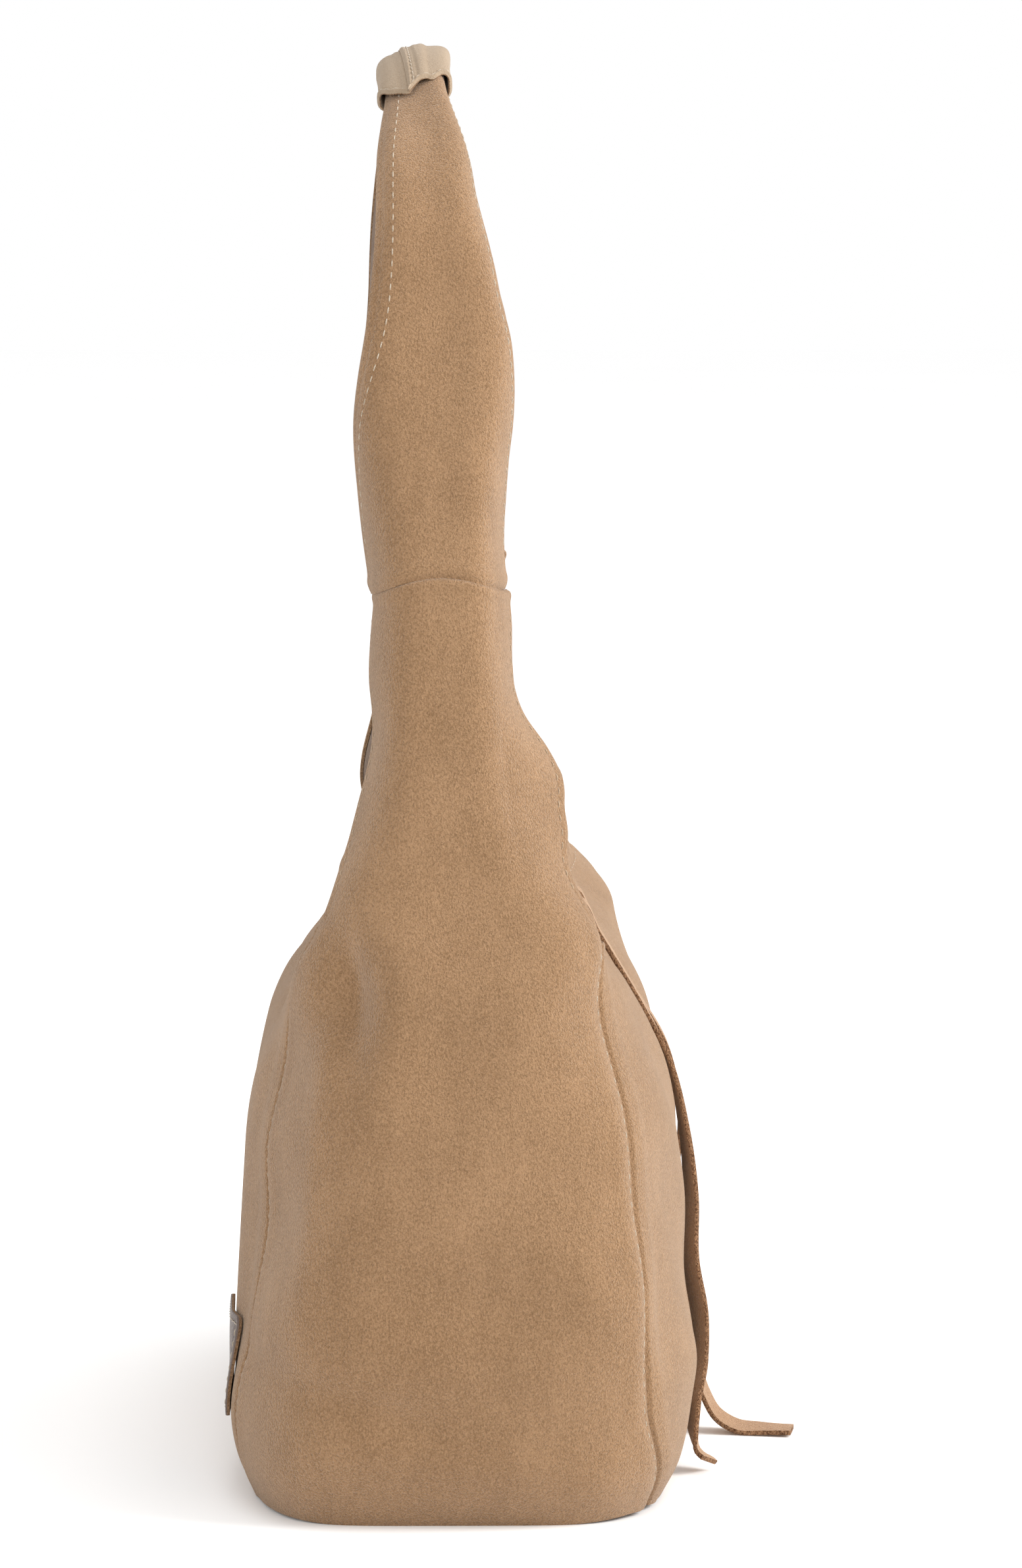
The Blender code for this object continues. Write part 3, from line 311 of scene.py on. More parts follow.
def slump(x, y, h, away_y):
    """How far the leather stands out of the patterned shape: long soft waves all over, a ridge and a
    dimple under each neck's back edge, folds that fan down from the drawn-in mouth, and a low roll."""
    end = np.abs(x)
    waves = 0.55 * np.sin(61 * x + 47 * y + 83 * h + 0.6)
    waves += 0.45 * np.sin(-38 * x + 90 * y + 52 * h + 2.1)
    waves += 0.40 * np.sin(112 * x - 66 * y + 74 * h + 4.0)
    waves += 0.35 * np.sin(24 * x + 31 * y - 141 * h + 1.2)
    settled = ease(h, 0.0, 0.03) * (1 - 0.85 * ease(h, 0.23, 0.30))
    back, front = ease(y, -0.005, 0.02), ease(-away_y, 0.5, 0.9)
    shoulder = ease(end, 0.085, 0.125)
    dimple = -9.0 * bell(y, 0.0385, 0.0095) * bell(h, 0.184, 0.024) * shoulder
    ridge = 5.2 * bell(y + 0.45 * (h - 0.19), 0.0520, 0.0065) * bell(h, 0.193, 0.020) * shoulder
    under = -3.0 * bell(y, 0.058, 0.011) * bell(h, 0.158, 0.018) * shoulder
    tuck = -1.4 * bell(y, -0.040, 0.014) * bell(h, 0.165, 0.030) * shoulder
    roll = 1.3 * bell(h, 0.026, 0.016) * (0.6 + 0.4 * np.sin(70 * x + 40 * y))
    crease = -1.6 * bell(h - 0.25 * (y - 0.05), 0.049, 0.0075) * back * ease(end, 0.09, 0.13)
    long_side = ease(np.abs(away_y), 0.6, 0.95)
    fan = np.arctan2(x + 0.012, 0.235 - h)
    folds = (2.4 - 1.2 * front) * (np.cos(11.0 * fan + 0.5 * np.sign(away_y)) - 1.1)
    folds *= ease(h, 0.045, 0.16) * bell(x, -0.01, 0.085) * (1 - 0.45 * ease(h, 0.185, 0.2))
    hollow = -2.6 * front * bell(h, 0.115, 0.045) * bell(x, 0.065, 0.045)
    slack = -1.8 * ease(h, 0.03, 0.08) * (1 - ease(h, 0.17, 0.2))
    slack -= 2.3 * (1 - front) * bell(h, 0.112, 0.034)
    slack += front * (1.6 * bell(h, 0.047, 0.012) - 3.4 * bell(h, 0.086, 0.034))
    level = settled * (waves + hollow) + long_side * (folds + slack)
    return 0.001 * (level + dimple + ridge + under + tuck + roll + crease)


def laid(x, y, h, away_x, away_y):
    """A point of the patterned shape moved out by the slump along its level outward direction, but not
    inwards where the zip pocket lies. Under the necks, the front's corners and the back's left
    corner are pulled out, and the back's right corner is pushed in."""
    out = slump(x, y, h, away_y)
    pocket = ease(away_y, 0.5, 0.9) * (1 - ease(np.abs(x), 0.084, 0.110))
    pocket = pocket * (1 - ease(np.abs(h - 0.098), 0.052, 0.075))
    out = out + pocket * (np.maximum(out, 0.0002) - out)
    left, right = 0.0084 * bell(h, 0.2095, 0.0170), 0.0062 * bell(h, 0.197, 0.013)
    pulled = np.where(x < 0, left, right) * ease(np.abs(x), 0.075, 0.118) * ease(-y, 0.012, 0.036)
    back_right = 0.0112 * bell(h, 0.188, 0.014) + 0.0040 * bell(h, 0.213, 0.014)
    pushed = back_right * ease(x, 0.020, 0.075) * ease(y, 0.010, 0.035)
    pulled_back = 0.0050 * bell(h, 0.217, 0.017) * ease(-x, 0.080, 0.118) * ease(y, 0.012, 0.036)
    return x + away_x * out, y + away_y * out - pulled - pushed + pulled_back


def lifted(x, y, h):
    """How far the base's corners stand off the floor, most at the front, fading out up the walls."""
    corner = 0.0022 * ease(-y, 0.036, 0.074) + 0.0014 * ease(y, 0.040, 0.072)
    return corner * ease(np.abs(x), 0.085, 0.140) * (1 - ease(h, 0.0, 0.040))


def outward(x, y, a, b, n):
    """The unit vector that points level out of the superellipse |x/a|^n + |y/b|^n = 1."""
    gx, gy = np.sign(x) * np.abs(x / a) ** (n - 1) / a, np.sign(y) * np.abs(y / b) ** (n - 1) / b
    size = np.hypot(gx, gy) + 1e-9
    return gx / size, gy / size


# (height, how far the necks' front edges flare outwards) on the left and on the right, in metres
LEFT_FLARE = [(0.2095, 0.0), (0.2235, 0.0026), (0.232, 0.0046), (0.2425, 0.0076), (0.2511, 0.0084)]
LEFT_FLARE += [(0.2604, 0.0104), (0.2696, 0.0110), (0.2789, 0.0083), (0.2881, 0.0022), (0.297, 0.0)]
LEFT_FLARE += [(0.305, 0.0003), (0.322, 0.0016), (0.333, 0.0010)]
RIGHT_FLARE = [(0.215, 0.0), (0.235, -0.0030), (0.255, -0.0085), (0.275, -0.0080)]
RIGHT_FLARE += [(0.300, -0.0020), (0.333, 0.0007)]
# (height, how far both necks' back edges stand back)
BACK_EDGE = [(0.215, 0.0), (0.232, 0.0012), (0.2425, -0.0002), (0.251, -0.0012), (0.262, -0.0018)]
BACK_EDGE += [(0.277, -0.0015), (0.288, 0.0), (0.300, 0.0020), (0.315, 0.0028), (0.333, 0.0020)]
flares = {-1: smooth_curve(LEFT_FLARE), 1: smooth_curve(RIGHT_FLARE)}
neck_back_edge = smooth_curve(BACK_EDGE)


def gusset_surface(end):
    """The left (end -1) or right (end 1) gusset, by across, from its front edge -1 to its back edge 1,
    and height: a superellipse's end, whose rows arch up the neck like its round top. The neck's front
    edge flares out as a lip over its lower half, and its back edge a little."""

    def surface(across, h):
        a, b, n, middle = section(h)
        x_edge = seam_x(h, across)
        y_edge = b * (1 - (x_edge / a) ** n) ** (1 / n)
        angle = across * np.arctan2(y_edge, x_edge)
        radius = ((np.cos(angle) / a) ** n + np.abs(np.sin(angle) / b) ** n) ** (-1 / n)
        x, y = end * radius * np.cos(angle), radius * np.sin(angle)
        away_x, away_y = outward(x, y, a, b, n)
        x, y = laid(x, middle + y * drawn_in(x, h, y), h, away_x, away_y)
        waist = 0.0027 * bell(h, 0.262, 0.030)
        bent = np.clip((-across - 0.62) / 0.38, 0.0, 1.0) ** 1.3
        lip = bent * (flares[end](h) + waist)
        y = y + waist * ease(-across, 0.0, 0.9) - lip + ease(across, 0.2, 0.9) * neck_back_edge(h)
        z = h + lifted(x, y, h)
        arched = ease(h, SEAM_ARCH_START * SEAM_HEIGHT, SEAM_HEIGHT)
        level = np.clip(y - NECK_SHIFT, -0.9 * SEAM_RADIUS, 0.9 * SEAM_RADIUS)
        drop = SEAM_RADIUS - np.sqrt(SEAM_RADIUS**2 - level**2)
        return np.stack([x, y, z - arched * drop], axis=-1)

    return surface


def panel_surface(side):
    """The front (side -1) or back (side 1) panel, by along, from -1 to 1, and by share of its height:
    the superellipse's long side, up to a rim that dips at mid length. Close under the rim, the depth
    goes over to a straight line from the corners to the drawn-in middle."""

    def surface(along, share):
        front_rise = np.where(along < 0, 0.4, 1.0) * np.abs(along) ** 1.6
        rise = np.where(side > 0, np.abs(along) ** 3, front_rise)
        rim = RIM_HEIGHT + rise * (RIM_CORNER_HEIGHT - RIM_HEIGHT)
        h = share * RIM_CORNER_HEIGHT - (RIM_CORNER_HEIGHT - rim) * share**2
        a, b, n, middle = section(h)
        x_edge = seam_x(h, side)
        x = along * x_edge
        y = b * (1 - (np.abs(x) / a) ** n) ** (1 / n) * drawn_in(x, h, side)
        corner_y = b * (1 - (x_edge / a) ** n) ** (1 / n) * drawn_in(x_edge, h, side)
        middle_y = b * drawn_in(0.0, h, side)
        straight = middle_y + (corner_y - middle_y) * np.abs(along) ** 1.3
        y = side * (y + (straight - y) * ease(share, 0.895, 0.985))
        away_x, away_y = outward(x, y, a, b, n)
        x, y = laid(x, middle + y, h, away_x, away_y)
        return np.stack([x, y, h + lifted(x, y, h)], axis=-1)

    return surface


def skin(surface, u, v, inside):
    """Points and outward unit normals of surface(u, v), by small steps either way, with outwards
    told by the points inside."""
    u_step, v_step = 2e-4, 2e-5
    points = surface(u, v)
    along_u = surface(u + u_step, v) - surface(u - u_step, v)
    normals = np.cross(along_u, surface(u, v + v_step) - surface(u, v - v_step))
    normals /= np.linalg.norm(normals, axis=-1, keepdims=True)
    return points, normals * np.sign((normals * (points - inside(points))).sum(-1, keepdims=True))


def bag_axis(points):
    """The points beside these on the bag's long axis."""
    return points * (0.5, 0.0, 1.0)


def crowded(low, high, count):
    """Values from low to high that crowd together near both ends, by a cubic."""
    s = np.linspace(-1, 1, count)
    return low + (high - low) * (1 + 1.4 * s - 0.4 * s**3) / 2


def closed_shell(name, outer, inner, finishes, body, slot):
    """Two grids of points closed along their borders into one solid sheet. Its UV map is the length
    along the rows and the columns in metres, and its cut edges take the second finish."""
    rows, columns = outer.shape[:2]
    count = rows * columns
    index = np.arange(count).reshape(rows, columns)
    face = np.stack([index[:-1, :-1], index[:-1, 1:], index[1:, 1:], index[1:, :-1]], -1).reshape(-1, 4)
    rim = np.concatenate([index[0], index[1:, -1], index[-1, -2::-1], index[-2:0:-1, 0]])
    edge = np.stack([rim, rim + count, np.roll(rim, -1) + count, np.roll(rim, -1)], -1)
    quads = np.concatenate([face, face[:, ::-1] + count, edge])
    du, dv = outer[:-1, 1:] - outer[:-1, :-1], outer[1:, :-1] - outer[:-1, :-1]
    if (np.cross(du, dv) * (outer - inner)[:-1, :-1]).sum() < 0:
        quads = quads[:, ::-1]
    along = np.append(0, np.linalg.norm(np.diff(outer, axis=1), axis=-1).mean(0).cumsum())
    up = np.append(0, np.linalg.norm(np.diff(outer, axis=0), axis=-1).mean(1).cumsum())
    flat = np.stack(np.meshgrid(along, up), -1).reshape(-1, 2)
    cut = np.arange(len(quads)) >= 2 * len(face)
    points = np.concatenate([outer.reshape(-1, 3), inner.reshape(-1, 3)])
    return piece(name, points, quads, finishes, body, slot, np.concatenate([flat, flat]), cut)


def piece(name, points, quads, finishes, body, slot, flat=None, second=None):
    """Makes a mesh of quads from arrays, gives it its finishes and sets what it rides on."""
    mesh = bpy.data.meshes.new(name)
    mesh.vertices.add(len(points))
    mesh.vertices.foreach_set("co", np.ascontiguousarray(points, np.float32).ravel())
    mesh.loops.add(quads.size)
    mesh.loops.foreach_set("vertex_index", np.ascontiguousarray(quads, np.int32).ravel())
    mesh.polygons.add(len(quads))
    mesh.polygons.foreach_set("loop_start", np.arange(0, quads.size, quads.shape[1], dtype=np.int32))
    if flat is not None:
        mesh.uv_layers.new(name="cloth").data.foreach_set("uv", flat[quads].astype(np.float32).ravel())
    for finish in finishes:
        mesh.materials.append(finish.material)
    if second is not None:
        mesh.polygons.foreach_set("material_index", np.asarray(second, np.int32))
    mesh.update(calc_edges=True)
    mesh.shade_smooth()
    mesh.set_sharp_from_angle(angle=math.radians(50))
    made = bpy.data.objects.new(name, mesh)
    scene.collection.objects.link(made)
    if body:
        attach(made, body)
    return made


def suede_finish(name, dark, light, grain=1.0, sheen=0.35):
    """Napped suede: clumped nap about a millimetre across, over broad brushed patches."""
    made = Finish(name, Roughness=0.95, Specular_IOR_Level=0.12, Sheen_Weight=sheen, Sheen_Roughness=0.4)
    made.shader.inputs["Sheen Tint"].default_value = paint(1.0, 0.94, 0.87)
    brushed = made.noise(made.place((1.0, 1.0, 0.6), (0.5, 0.0, 0.4)), 24.0, 3.0, 0.55, 0.5)
    stroke = made.noise(made.place((1.0, 1.0, 0.35), (0.3, 0.5, 0.0)), 110.0, 2.0, 0.5)
    clumps = made.noise(made.place((1.0, 1.0, 0.75), (0.4, 0.2, 0.0)), 1450.0, 2.0, 0.6, 0.2)
    nap = made.noise(made.place(), 2500.0, 1.0, 0.6)
    tone = 0.5 + (brushed - 0.5) * 0.45 + (stroke - 0.5) * 0.30 + (clumps - 0.5) * (1.5 * grain)
    made.colour(made.mix(made.band(tone + (nap - 0.5) * (0.8 * grain), 0.0, 1.0), dark, light))
    made.roughness(0.88 + nap * 0.12)
    made.relief(clumps * 0.8 + nap * 0.6, 0.0010 * grain, 1.0)
    return made


suede = suede_finish("suede", paint(0.212, 0.119, 0.057), paint(0.392, 0.236, 0.127))
cut_dark, cut_light = paint(0.165, 0.092, 0.046), paint(0.350, 0.215, 0.120)
cut_suede = suede_finish("suede_cut_edge", cut_dark, cut_light, 1.2, 0.15)


def from_ends(points):
    """The distance of each point from the nearer of its row's two ends."""
    ends = points[:, :1], points[:, -1:]
    return np.minimum(*(np.linalg.norm(points - edge, axis=-1) for edge in ends))


def from_border(points):
    """The distance of each point from the nearest of its row's and its column's ends."""
    return np.minimum(from_ends(points), from_ends(points.swapaxes(0, 1)).swapaxes(0, 1))


def seam_relief(d):
    """A turned seam's relief by distance from it: a groove, then a puff."""
    return -0.0012 * bell(d, 0.0, 0.0010) + 0.0006 * bell(d, 0.0062, 0.0036)


def cut_relief(d):
    """A cut edge's relief by distance from it: a rounded edge and a dip under the edge stitching."""
    return -0.0005 * bell(d, 0.0, 0.0005) - 0.0003 * bell(d, 0.0040, 0.0010)


def relieved(name, points, normals, relief, depth, finishes, body, slot):
    """A shell from the skin, raised by relief, in to depth behind it."""
    outer, inner = points + normals * relief[..., None], points - normals * depth
    return closed_shell(name, outer, inner, finishes, body, slot)


gussets = {"left": gusset_surface(-1), "right": gusset_surface(1)}
panels = {"front": panel_surface(-1), "back": panel_surface(1)}
HALF_CUT = 1 - 0.1 * SEAM_GAP / NECK_WIDTH
STITCH_INSET = 0.0022

for end, surface in gussets.items():
    u, v = np.meshgrid(crowded(-HALF_CUT, HALF_CUT, 150), crowded(0.0, SEAM_HEIGHT, 236))
    points, normals = skin(surface, u, v, bag_axis)
    d, top = from_ends(points), np.linalg.norm(points - points[-1:], axis=-1)
    sewn = 1 - ease(v, RIM_CORNER_HEIGHT - 0.003, RIM_CORNER_HEIGHT + 0.004)
    dip = 0.00035 * bell(d, STITCH_INSET, 0.0009)
    relief = sewn * (seam_relief(d) - dip) + (1 - sewn) * cut_relief(d)
    relief += 0.0007 * bell(top, 0.0022, 0.0020) - 0.0009 * bell(top, 0.0, 0.0006)
    name = end + "_gusset_suede"
    made = relieved(name, points, normals, relief, SUEDE, (suede, cut_suede), None, "suede")
    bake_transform(made)
    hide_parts(end + "_gusset")

for side, surface in panels.items():
    cut = 1 - 0.1 * SEAM_GAP / BAG_LENGTH
    u, v = np.meshgrid(crowded(-cut, cut, 210), crowded(0.0, 1.0, 140))
    points, normals = skin(surface, u, v, bag_axis)
    top = np.linalg.norm(points - points[-1:], axis=-1)
    relief = seam_relief(from_ends(points)) + cut_relief(top)
    name = side + "_panel_suede"
    made = relieved(name, points, normals, relief, SUEDE, (suede, cut_suede), "bag", "suede")
    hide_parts(side + "_panel")

# ---- Facings and lining --------------------------------------------------------------------------
# A band of matt leather backs the mouth and the necks. Below it hangs a plain woven cotton lining,
# turned under at its top and sewn to the facing's lower edge.
FACING = 0.0011
LINING = 0.0007
FACING_HEIGHT = 0.030
LINING_START = 0.0070
BEHIND_SUEDE = SUEDE + 0.0003

facing = Finish("facing_leather", Roughness=0.62, Specular_IOR_Level=0.3)
cloud = facing.band(facing.noise(facing.place(), 55.0, 3.0, 0.6), 0.25, 0.75)
facing.colour(facing.mix(cloud, paint(0.175, 0.125, 0.095), paint(0.265, 0.200, 0.155)))
facing.roughness(0.72 - facing.pores(620.0, 0.22, 0.00012, 0.7) * 0.14)


def woven_finish(name, dark, light, pitch):
    """Plain weave: over-and-under threads from two sets of waves along the cloth's own directions."""
    made = Finish(name, Roughness=0.9, Sheen_Weight=0.15)
    cloth = made.node("ShaderNodeUVMap", {"uv_map": "cloth"}, {})
    axes = made.tree.nodes.new("ShaderNodeSeparateXYZ")
    feed(made.tree, axes.inputs[0], cloth)
    turn = math.pi / pitch
    phases = [Signal(made.tree, axes.outputs[k]) * turn for k in (0, 1)]
    warp, weft = (made.math("SINE", phase) for phase in phases)
    weave = warp * weft
    stretched = made.node("ShaderNodeMapping", {}, {"Vector": cloth, "Scale": (60.0, 900.0, 1.0)})
    slub = made.noise(stretched, 1.0)
    stain = made.noise(made.place(), 22.0, 2.0)
    tone = 0.5 + weave * 0.22 + (slub - 0.5) * 0.5 + (stain - 0.5) * 0.35
    made.colour(made.mix(tone, dark, light))
    made.relief(0.5 + weave * 0.4 + slub * 0.2, 0.00022, 0.8)
    return made


lining = woven_finish("cotton_lining", paint(0.34, 0.27, 0.19), paint(0.60, 0.51, 0.39), 0.0011)


def backing(name, surface, columns, rows, thickness, finish, body, slot):
    """A sheet that lies against the inside of a wall's suede, over these columns and rows of it."""
    points, normals = skin(surface, *np.meshgrid(columns, rows), bag_axis)
    outer, inner = points - normals * BEHIND_SUEDE, points - normals * (BEHIND_SUEDE + thickness)
    return closed_shell(name, outer, inner, (finish, finish), body, slot)


def facing_sheet(node, surface, columns, rows, body):
    made = backing(node + "_leather", surface, columns, rows, FACING, facing, body, "facing")
    if body is None:
        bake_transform(made)
    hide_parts(node)


def lining_sheet(node, surface, columns, rows):
    made = backing(node + "_cloth", surface, columns, rows, LINING, lining, "bag", "lining")
    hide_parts(node)


facing_low = RIM_CORNER_HEIGHT - FACING_HEIGHT
for end, surface in gussets.items():
    rows = np.linspace(facing_low, SEAM_HEIGHT, 90)
    facing_sheet(end + "_neck_facing", surface, crowded(-1.0, 1.0, 64), rows, None)
    rows = np.linspace(LINING_START, facing_low - 0.0004, 90)
    lining_sheet(end + "_gusset_lining", surface, np.linspace(-1.0, 1.0, 70), rows)
for side, surface in panels.items():
    low = facing_low / RIM_CORNER_HEIGHT
    columns, rows = np.linspace(-1.0, 1.0, 150), np.linspace(low, 1.0, 26)
    facing_sheet(side + "_rim_facing", surface, columns, rows, "bag")
    rows = np.linspace(LINING_START / RIM_CORNER_HEIGHT, low - 0.002, 80)
    lining_sheet(side + "_lining", surface, np.linspace(-1.0, 1.0, 140), rows)

# ---- Topstitching --------------------------------------------------------------------------------
# Cream bonded thread in a lockstitch just under 5 mm long: down both edges of each gusset beside its
# seams, and along the cut edges of the mouth and the necks.
STITCH_PITCH = 0.0049
STITCH_LENGTH = 0.0029
THREAD_RADIUS = 0.00023
FINE_THREAD_RADIUS = 0.0002
NECK_STITCH_INSET = 0.0036
RIM_STITCH_INSET = 0.0042


def thread_finish(name, dark, light):
    made = Finish(name, Roughness=0.6, Sheen_Weight=0.3)
    strands = made.noise(made.place(), 2600.0, 2.0)
    made.colour(made.mix(made.band(strands, 0.3, 0.7), dark, light))
    made.relief(strands, 0.0001, 0.5)
    return made


thread = thread_finish("cream_thread", paint(0.28, 0.21, 0.14), paint(0.50, 0.42, 0.32))
tan_thread = thread_finish("tan_thread", paint(0.26, 0.175, 0.105), paint(0.46, 0.34, 0.22))


def stitches(
    name, points, normals, body, slot, pitch=STITCH_PITCH, radius=THREAD_RADIUS, sink=0.0, finish=thread
):
    """A row of stitches along a line on a surface: each is a thread that comes up, bows over and goes
    down, as seven rings of six points along a parabola."""
    length = np.append(0, np.linalg.norm(np.diff(points, axis=0), axis=1).cumsum())
    count = max(int(length[-1] / pitch), 1)
    centres = (np.arange(count) + 0.5) * length[-1] / count

    def read(values, places):
        return np.stack([np.interp(places, length, values[:, k]) for k in range(3)], -1)

    middle, up = read(points, centres), read(normals, centres)
    ahead = read(points, centres + pitch / 3) - read(points, centres - pitch / 3)
    ahead /= np.linalg.norm(ahead, axis=1, keepdims=True)
    aside = np.cross(up, ahead)
    aside /= np.linalg.norm(aside, axis=1, keepdims=True)
    t = np.array([-1.0, -0.86, -0.45, 0.0, 0.45, 0.86, 1.0])
    thick = radius * np.array([0.25, 0.8, 1.0, 1.05, 1.0, 0.8, 0.25])
    rise = radius * (1.15 - 1.5 * t**2) - sink
    turn = np.linspace(0, 2 * math.pi, 6, endpoint=False)
    local_a = np.repeat(t[:, None], 6, 1) * STITCH_LENGTH / 2
    local_b = thick[:, None] * np.cos(turn)
    local_c = rise[:, None] + thick[:, None] * np.sin(turn)
    rings = middle[:, None, None] + local_a[None, ..., None] * ahead[:, None, None]
    rings = rings + local_b[None, ..., None] * aside[:, None, None]
    rings = rings + local_c[None, ..., None] * up[:, None, None]
    index = np.arange(rings.size // 3).reshape(rings.shape[:3])
    after = np.roll(index, -1, 2)
    side = np.stack([index[:, :-1], after[:, :-1], after[:, 1:], index[:, 1:]], -1)
    first, last = index[:, 0], index[:, -1]
    caps = [first[:, [0, 3, 2, 1]], first[:, [0, 5, 4, 3]]]
    caps += [last[:, [0, 1, 2, 3]], last[:, [0, 3, 4, 5]]]
    quads = np.concatenate([side.reshape(-1, 4)] + caps)
    return piece(name, rings.reshape(-1, 3), quads, (finish,), body, slot)


def inset_line(surface, edge, v, distance, inside=bag_axis):
    """The line on a surface that runs distance in from its edge at u = -1 or 1, over the rows v."""
    at_edge = np.full_like(v, float(edge))
    border = surface(at_edge, v)
    near = 0.05
    span = np.linalg.norm(surface(at_edge - near * edge, v) - border, axis=-1) / near
    u = at_edge
    for _ in range(6):
        gone = np.linalg.norm(surface(u, v) - border, axis=-1)
        u = u - edge * (distance - gone) / np.maximum(span, 1e-4)
    return skin(surface, u, v, inside)


for end, surface in gussets.items():
    for edge, side in ((-1, "front"), (1, "back")):
        line = inset_line(surface, edge, np.linspace(0.006, 0.2020, 400), STITCH_INSET)
        stitches(f"{end}_{side}_seam_stitches", *line, "bag", "suede", sink=0.0004)
        line = inset_line(surface, edge, np.linspace(0.222, 0.325, 300), NECK_STITCH_INSET)
        name = f"{end}_{side}_neck_stitches"
        made = stitches(
            name, *line, None, "suede", radius=FINE_THREAD_RADIUS, sink=0.0003, finish=tan_thread
        )
        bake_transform(made)
for side, surface in panels.items():
    u = np.linspace(-0.94, 0.94, 500)
    line = skin(surface, u, np.full_like(u, 1 - RIM_STITCH_INSET / RIM_CORNER_HEIGHT), bag_axis)
    name = side + "_rim_stitches"
    stitches(name, *line, "bag", "suede", radius=FINE_THREAD_RADIUS, sink=0.0002, finish=tan_thread)

# ---- Base ----------------------------------------------------------------------------------------
# A flat suede panel sewn in under the walls, a fibreboard stiffener on it and the lining's own bottom
# over that.
BASE_PANEL_INSET = 0.0022
BASE_SUEDE = 0.0018
BASE_LINING_INSET = 0.0062
BASE_LINING_LOW = 0.0049


def base_disc(inset, count=160, rings=26):
    """Points of the base by ring, from the middle out to its superellipse outline less inset."""
    a, b, n, middle = section(np.array(0.0))
    a, b = a - inset, b - inset
    turn = np.linspace(0, 2 * math.pi, count + 1)
    radius = (np.abs(np.cos(turn) / a) ** n + np.abs(np.sin(turn) / b) ** n) ** (-1 / n)
    share = np.sqrt(np.linspace(0.0004, 1.0, rings))[:, None]
    return share * radius * np.cos(turn), middle + share * radius * np.sin(turn)


def disc_piece(name, inset, low, thickness, finish, slot, ripple):
    """A closed disc in the base's outline, with a ripple on its top and one point at its middle."""
    x, y = base_disc(inset)
    x, y = x[:, :-1], y[:, :-1]
    rings, count = x.shape
    low = low + lifted(x, y, 0.0)
    wave = ripple * (np.sin(63 * x + 9) * np.sin(88 * y + 31 * x) + 0.5 * np.sin(140 * x - 60 * y))
    top = np.stack([x, y, low + thickness + wave], -1)
    bottom = np.stack([x, y, low + 0 * x], -1)
    heart = np.array([[0.0, y.mean(), low.min() + thickness], [0.0, y.mean(), low.min()]])
    points = np.concatenate([top.reshape(-1, 3), bottom.reshape(-1, 3), heart])
    index = np.arange(rings * count).reshape(rings, count)
    after = np.roll(index, -1, 1)
    upper = np.stack([index[:-1], index[1:], after[1:], after[:-1]], -1).reshape(-1, 4)
    total = rings * count
    edge = np.stack([index[-1], index[-1] + total, after[-1] + total, after[-1]], -1)
    first, tip = index[0], np.full(count // 2, 2 * total)
    middle = np.stack([first[0::2], first[1::2], np.roll(first, -2)[0::2], tip], -1)
    middle_low = middle[:, [2, 1, 0, 3]] + total
    middle_low[:, 3] = 2 * total + 1
    quads = np.concatenate([upper, upper[:, ::-1] + total, edge, middle, middle_low])
    return piece(name, points, quads, (finish,), "bag", slot, points[:, :2])


made = disc_piece("base_suede", BASE_PANEL_INSET, 0.0, BASE_SUEDE, suede, "suede", 0.0)
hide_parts("base_panel")
name = "base_lining_cloth"
made = disc_piece(name, BASE_LINING_INSET, BASE_LINING_LOW, LINING, lining, "lining", 0.00025)
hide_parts("base_lining")

board = Finish("fibreboard", Roughness=0.85)
fibres = board.noise(board.place((1.0, 3.0, 1.0)), 260.0, 4.0, 0.7)
board.colour(board.mix(fibres, paint(0.16, 0.145, 0.125), paint(0.30, 0.275, 0.24)))
board.relief(fibres, 0.0002, 0.5)


def refinish(node, finish):
    """Gives a carried-over CAD part its finish."""
    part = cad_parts[node]
    for slot in part.material_slots:
        slot.material = finish.material


refinish("base_board", board)

# ---- Back patch ----------------------------------------------------------------------------------
# A bare piece of smooth dark leather sewn flat to the back panel near the bag's left end.
PATCH_WIDTH = 0.046
PATCH_HEIGHT = 0.037
PATCH_FROM_BASE = 0.027
PATCH_FROM_MIDDLE = 0.078
PATCH_THICKNESS = 0.0016
PATCH_STAND_OFF = 0.0007
PATCH_CORNER = 0.004
PATCH_STITCH_INSET = 0.003

patch_leather = Finish("patch_leather", Roughness=0.42, Specular_IOR_Level=0.5)
worn = patch_leather.band(patch_leather.noise(patch_leather.place(), 90.0, 3.0), 0.3, 0.75)
patch_leather.colour(patch_leather.mix(worn, paint(0.060, 0.036, 0.026), paint(0.115, 0.075, 0.056)))
patch_leather.roughness(0.52 - patch_leather.pores(800.0, 0.25, 0.0001, 0.6) * 0.14)


def patch_outline(radius, count_u, count_v):
    """A rounded rectangle's grid of shares: each row's half width is cut back near the corners by a
    circle of that radius."""
    p, q = np.meshgrid(crowded(-1, 1, count_u), crowded(-1, 1, count_v))
    half_w, half_h = PATCH_WIDTH / 2, PATCH_HEIGHT / 2
    over = np.clip(np.abs(q) * half_h - (half_h - radius), 0.0, radius)
    cut = radius - np.sqrt(radius**2 - over**2)
    return p * (half_w - cut), q * half_h


def on_back(across, up):
    """Points and normals of the back panel by place across the patch and up it from its middle."""
    height = PATCH_FROM_BASE + PATCH_HEIGHT / 2 + up
    u = (-PATCH_FROM_MIDDLE + across) / seam_x(height, 1)
    return skin(panels["back"], u, height / RIM_CORNER_HEIGHT, bag_axis)


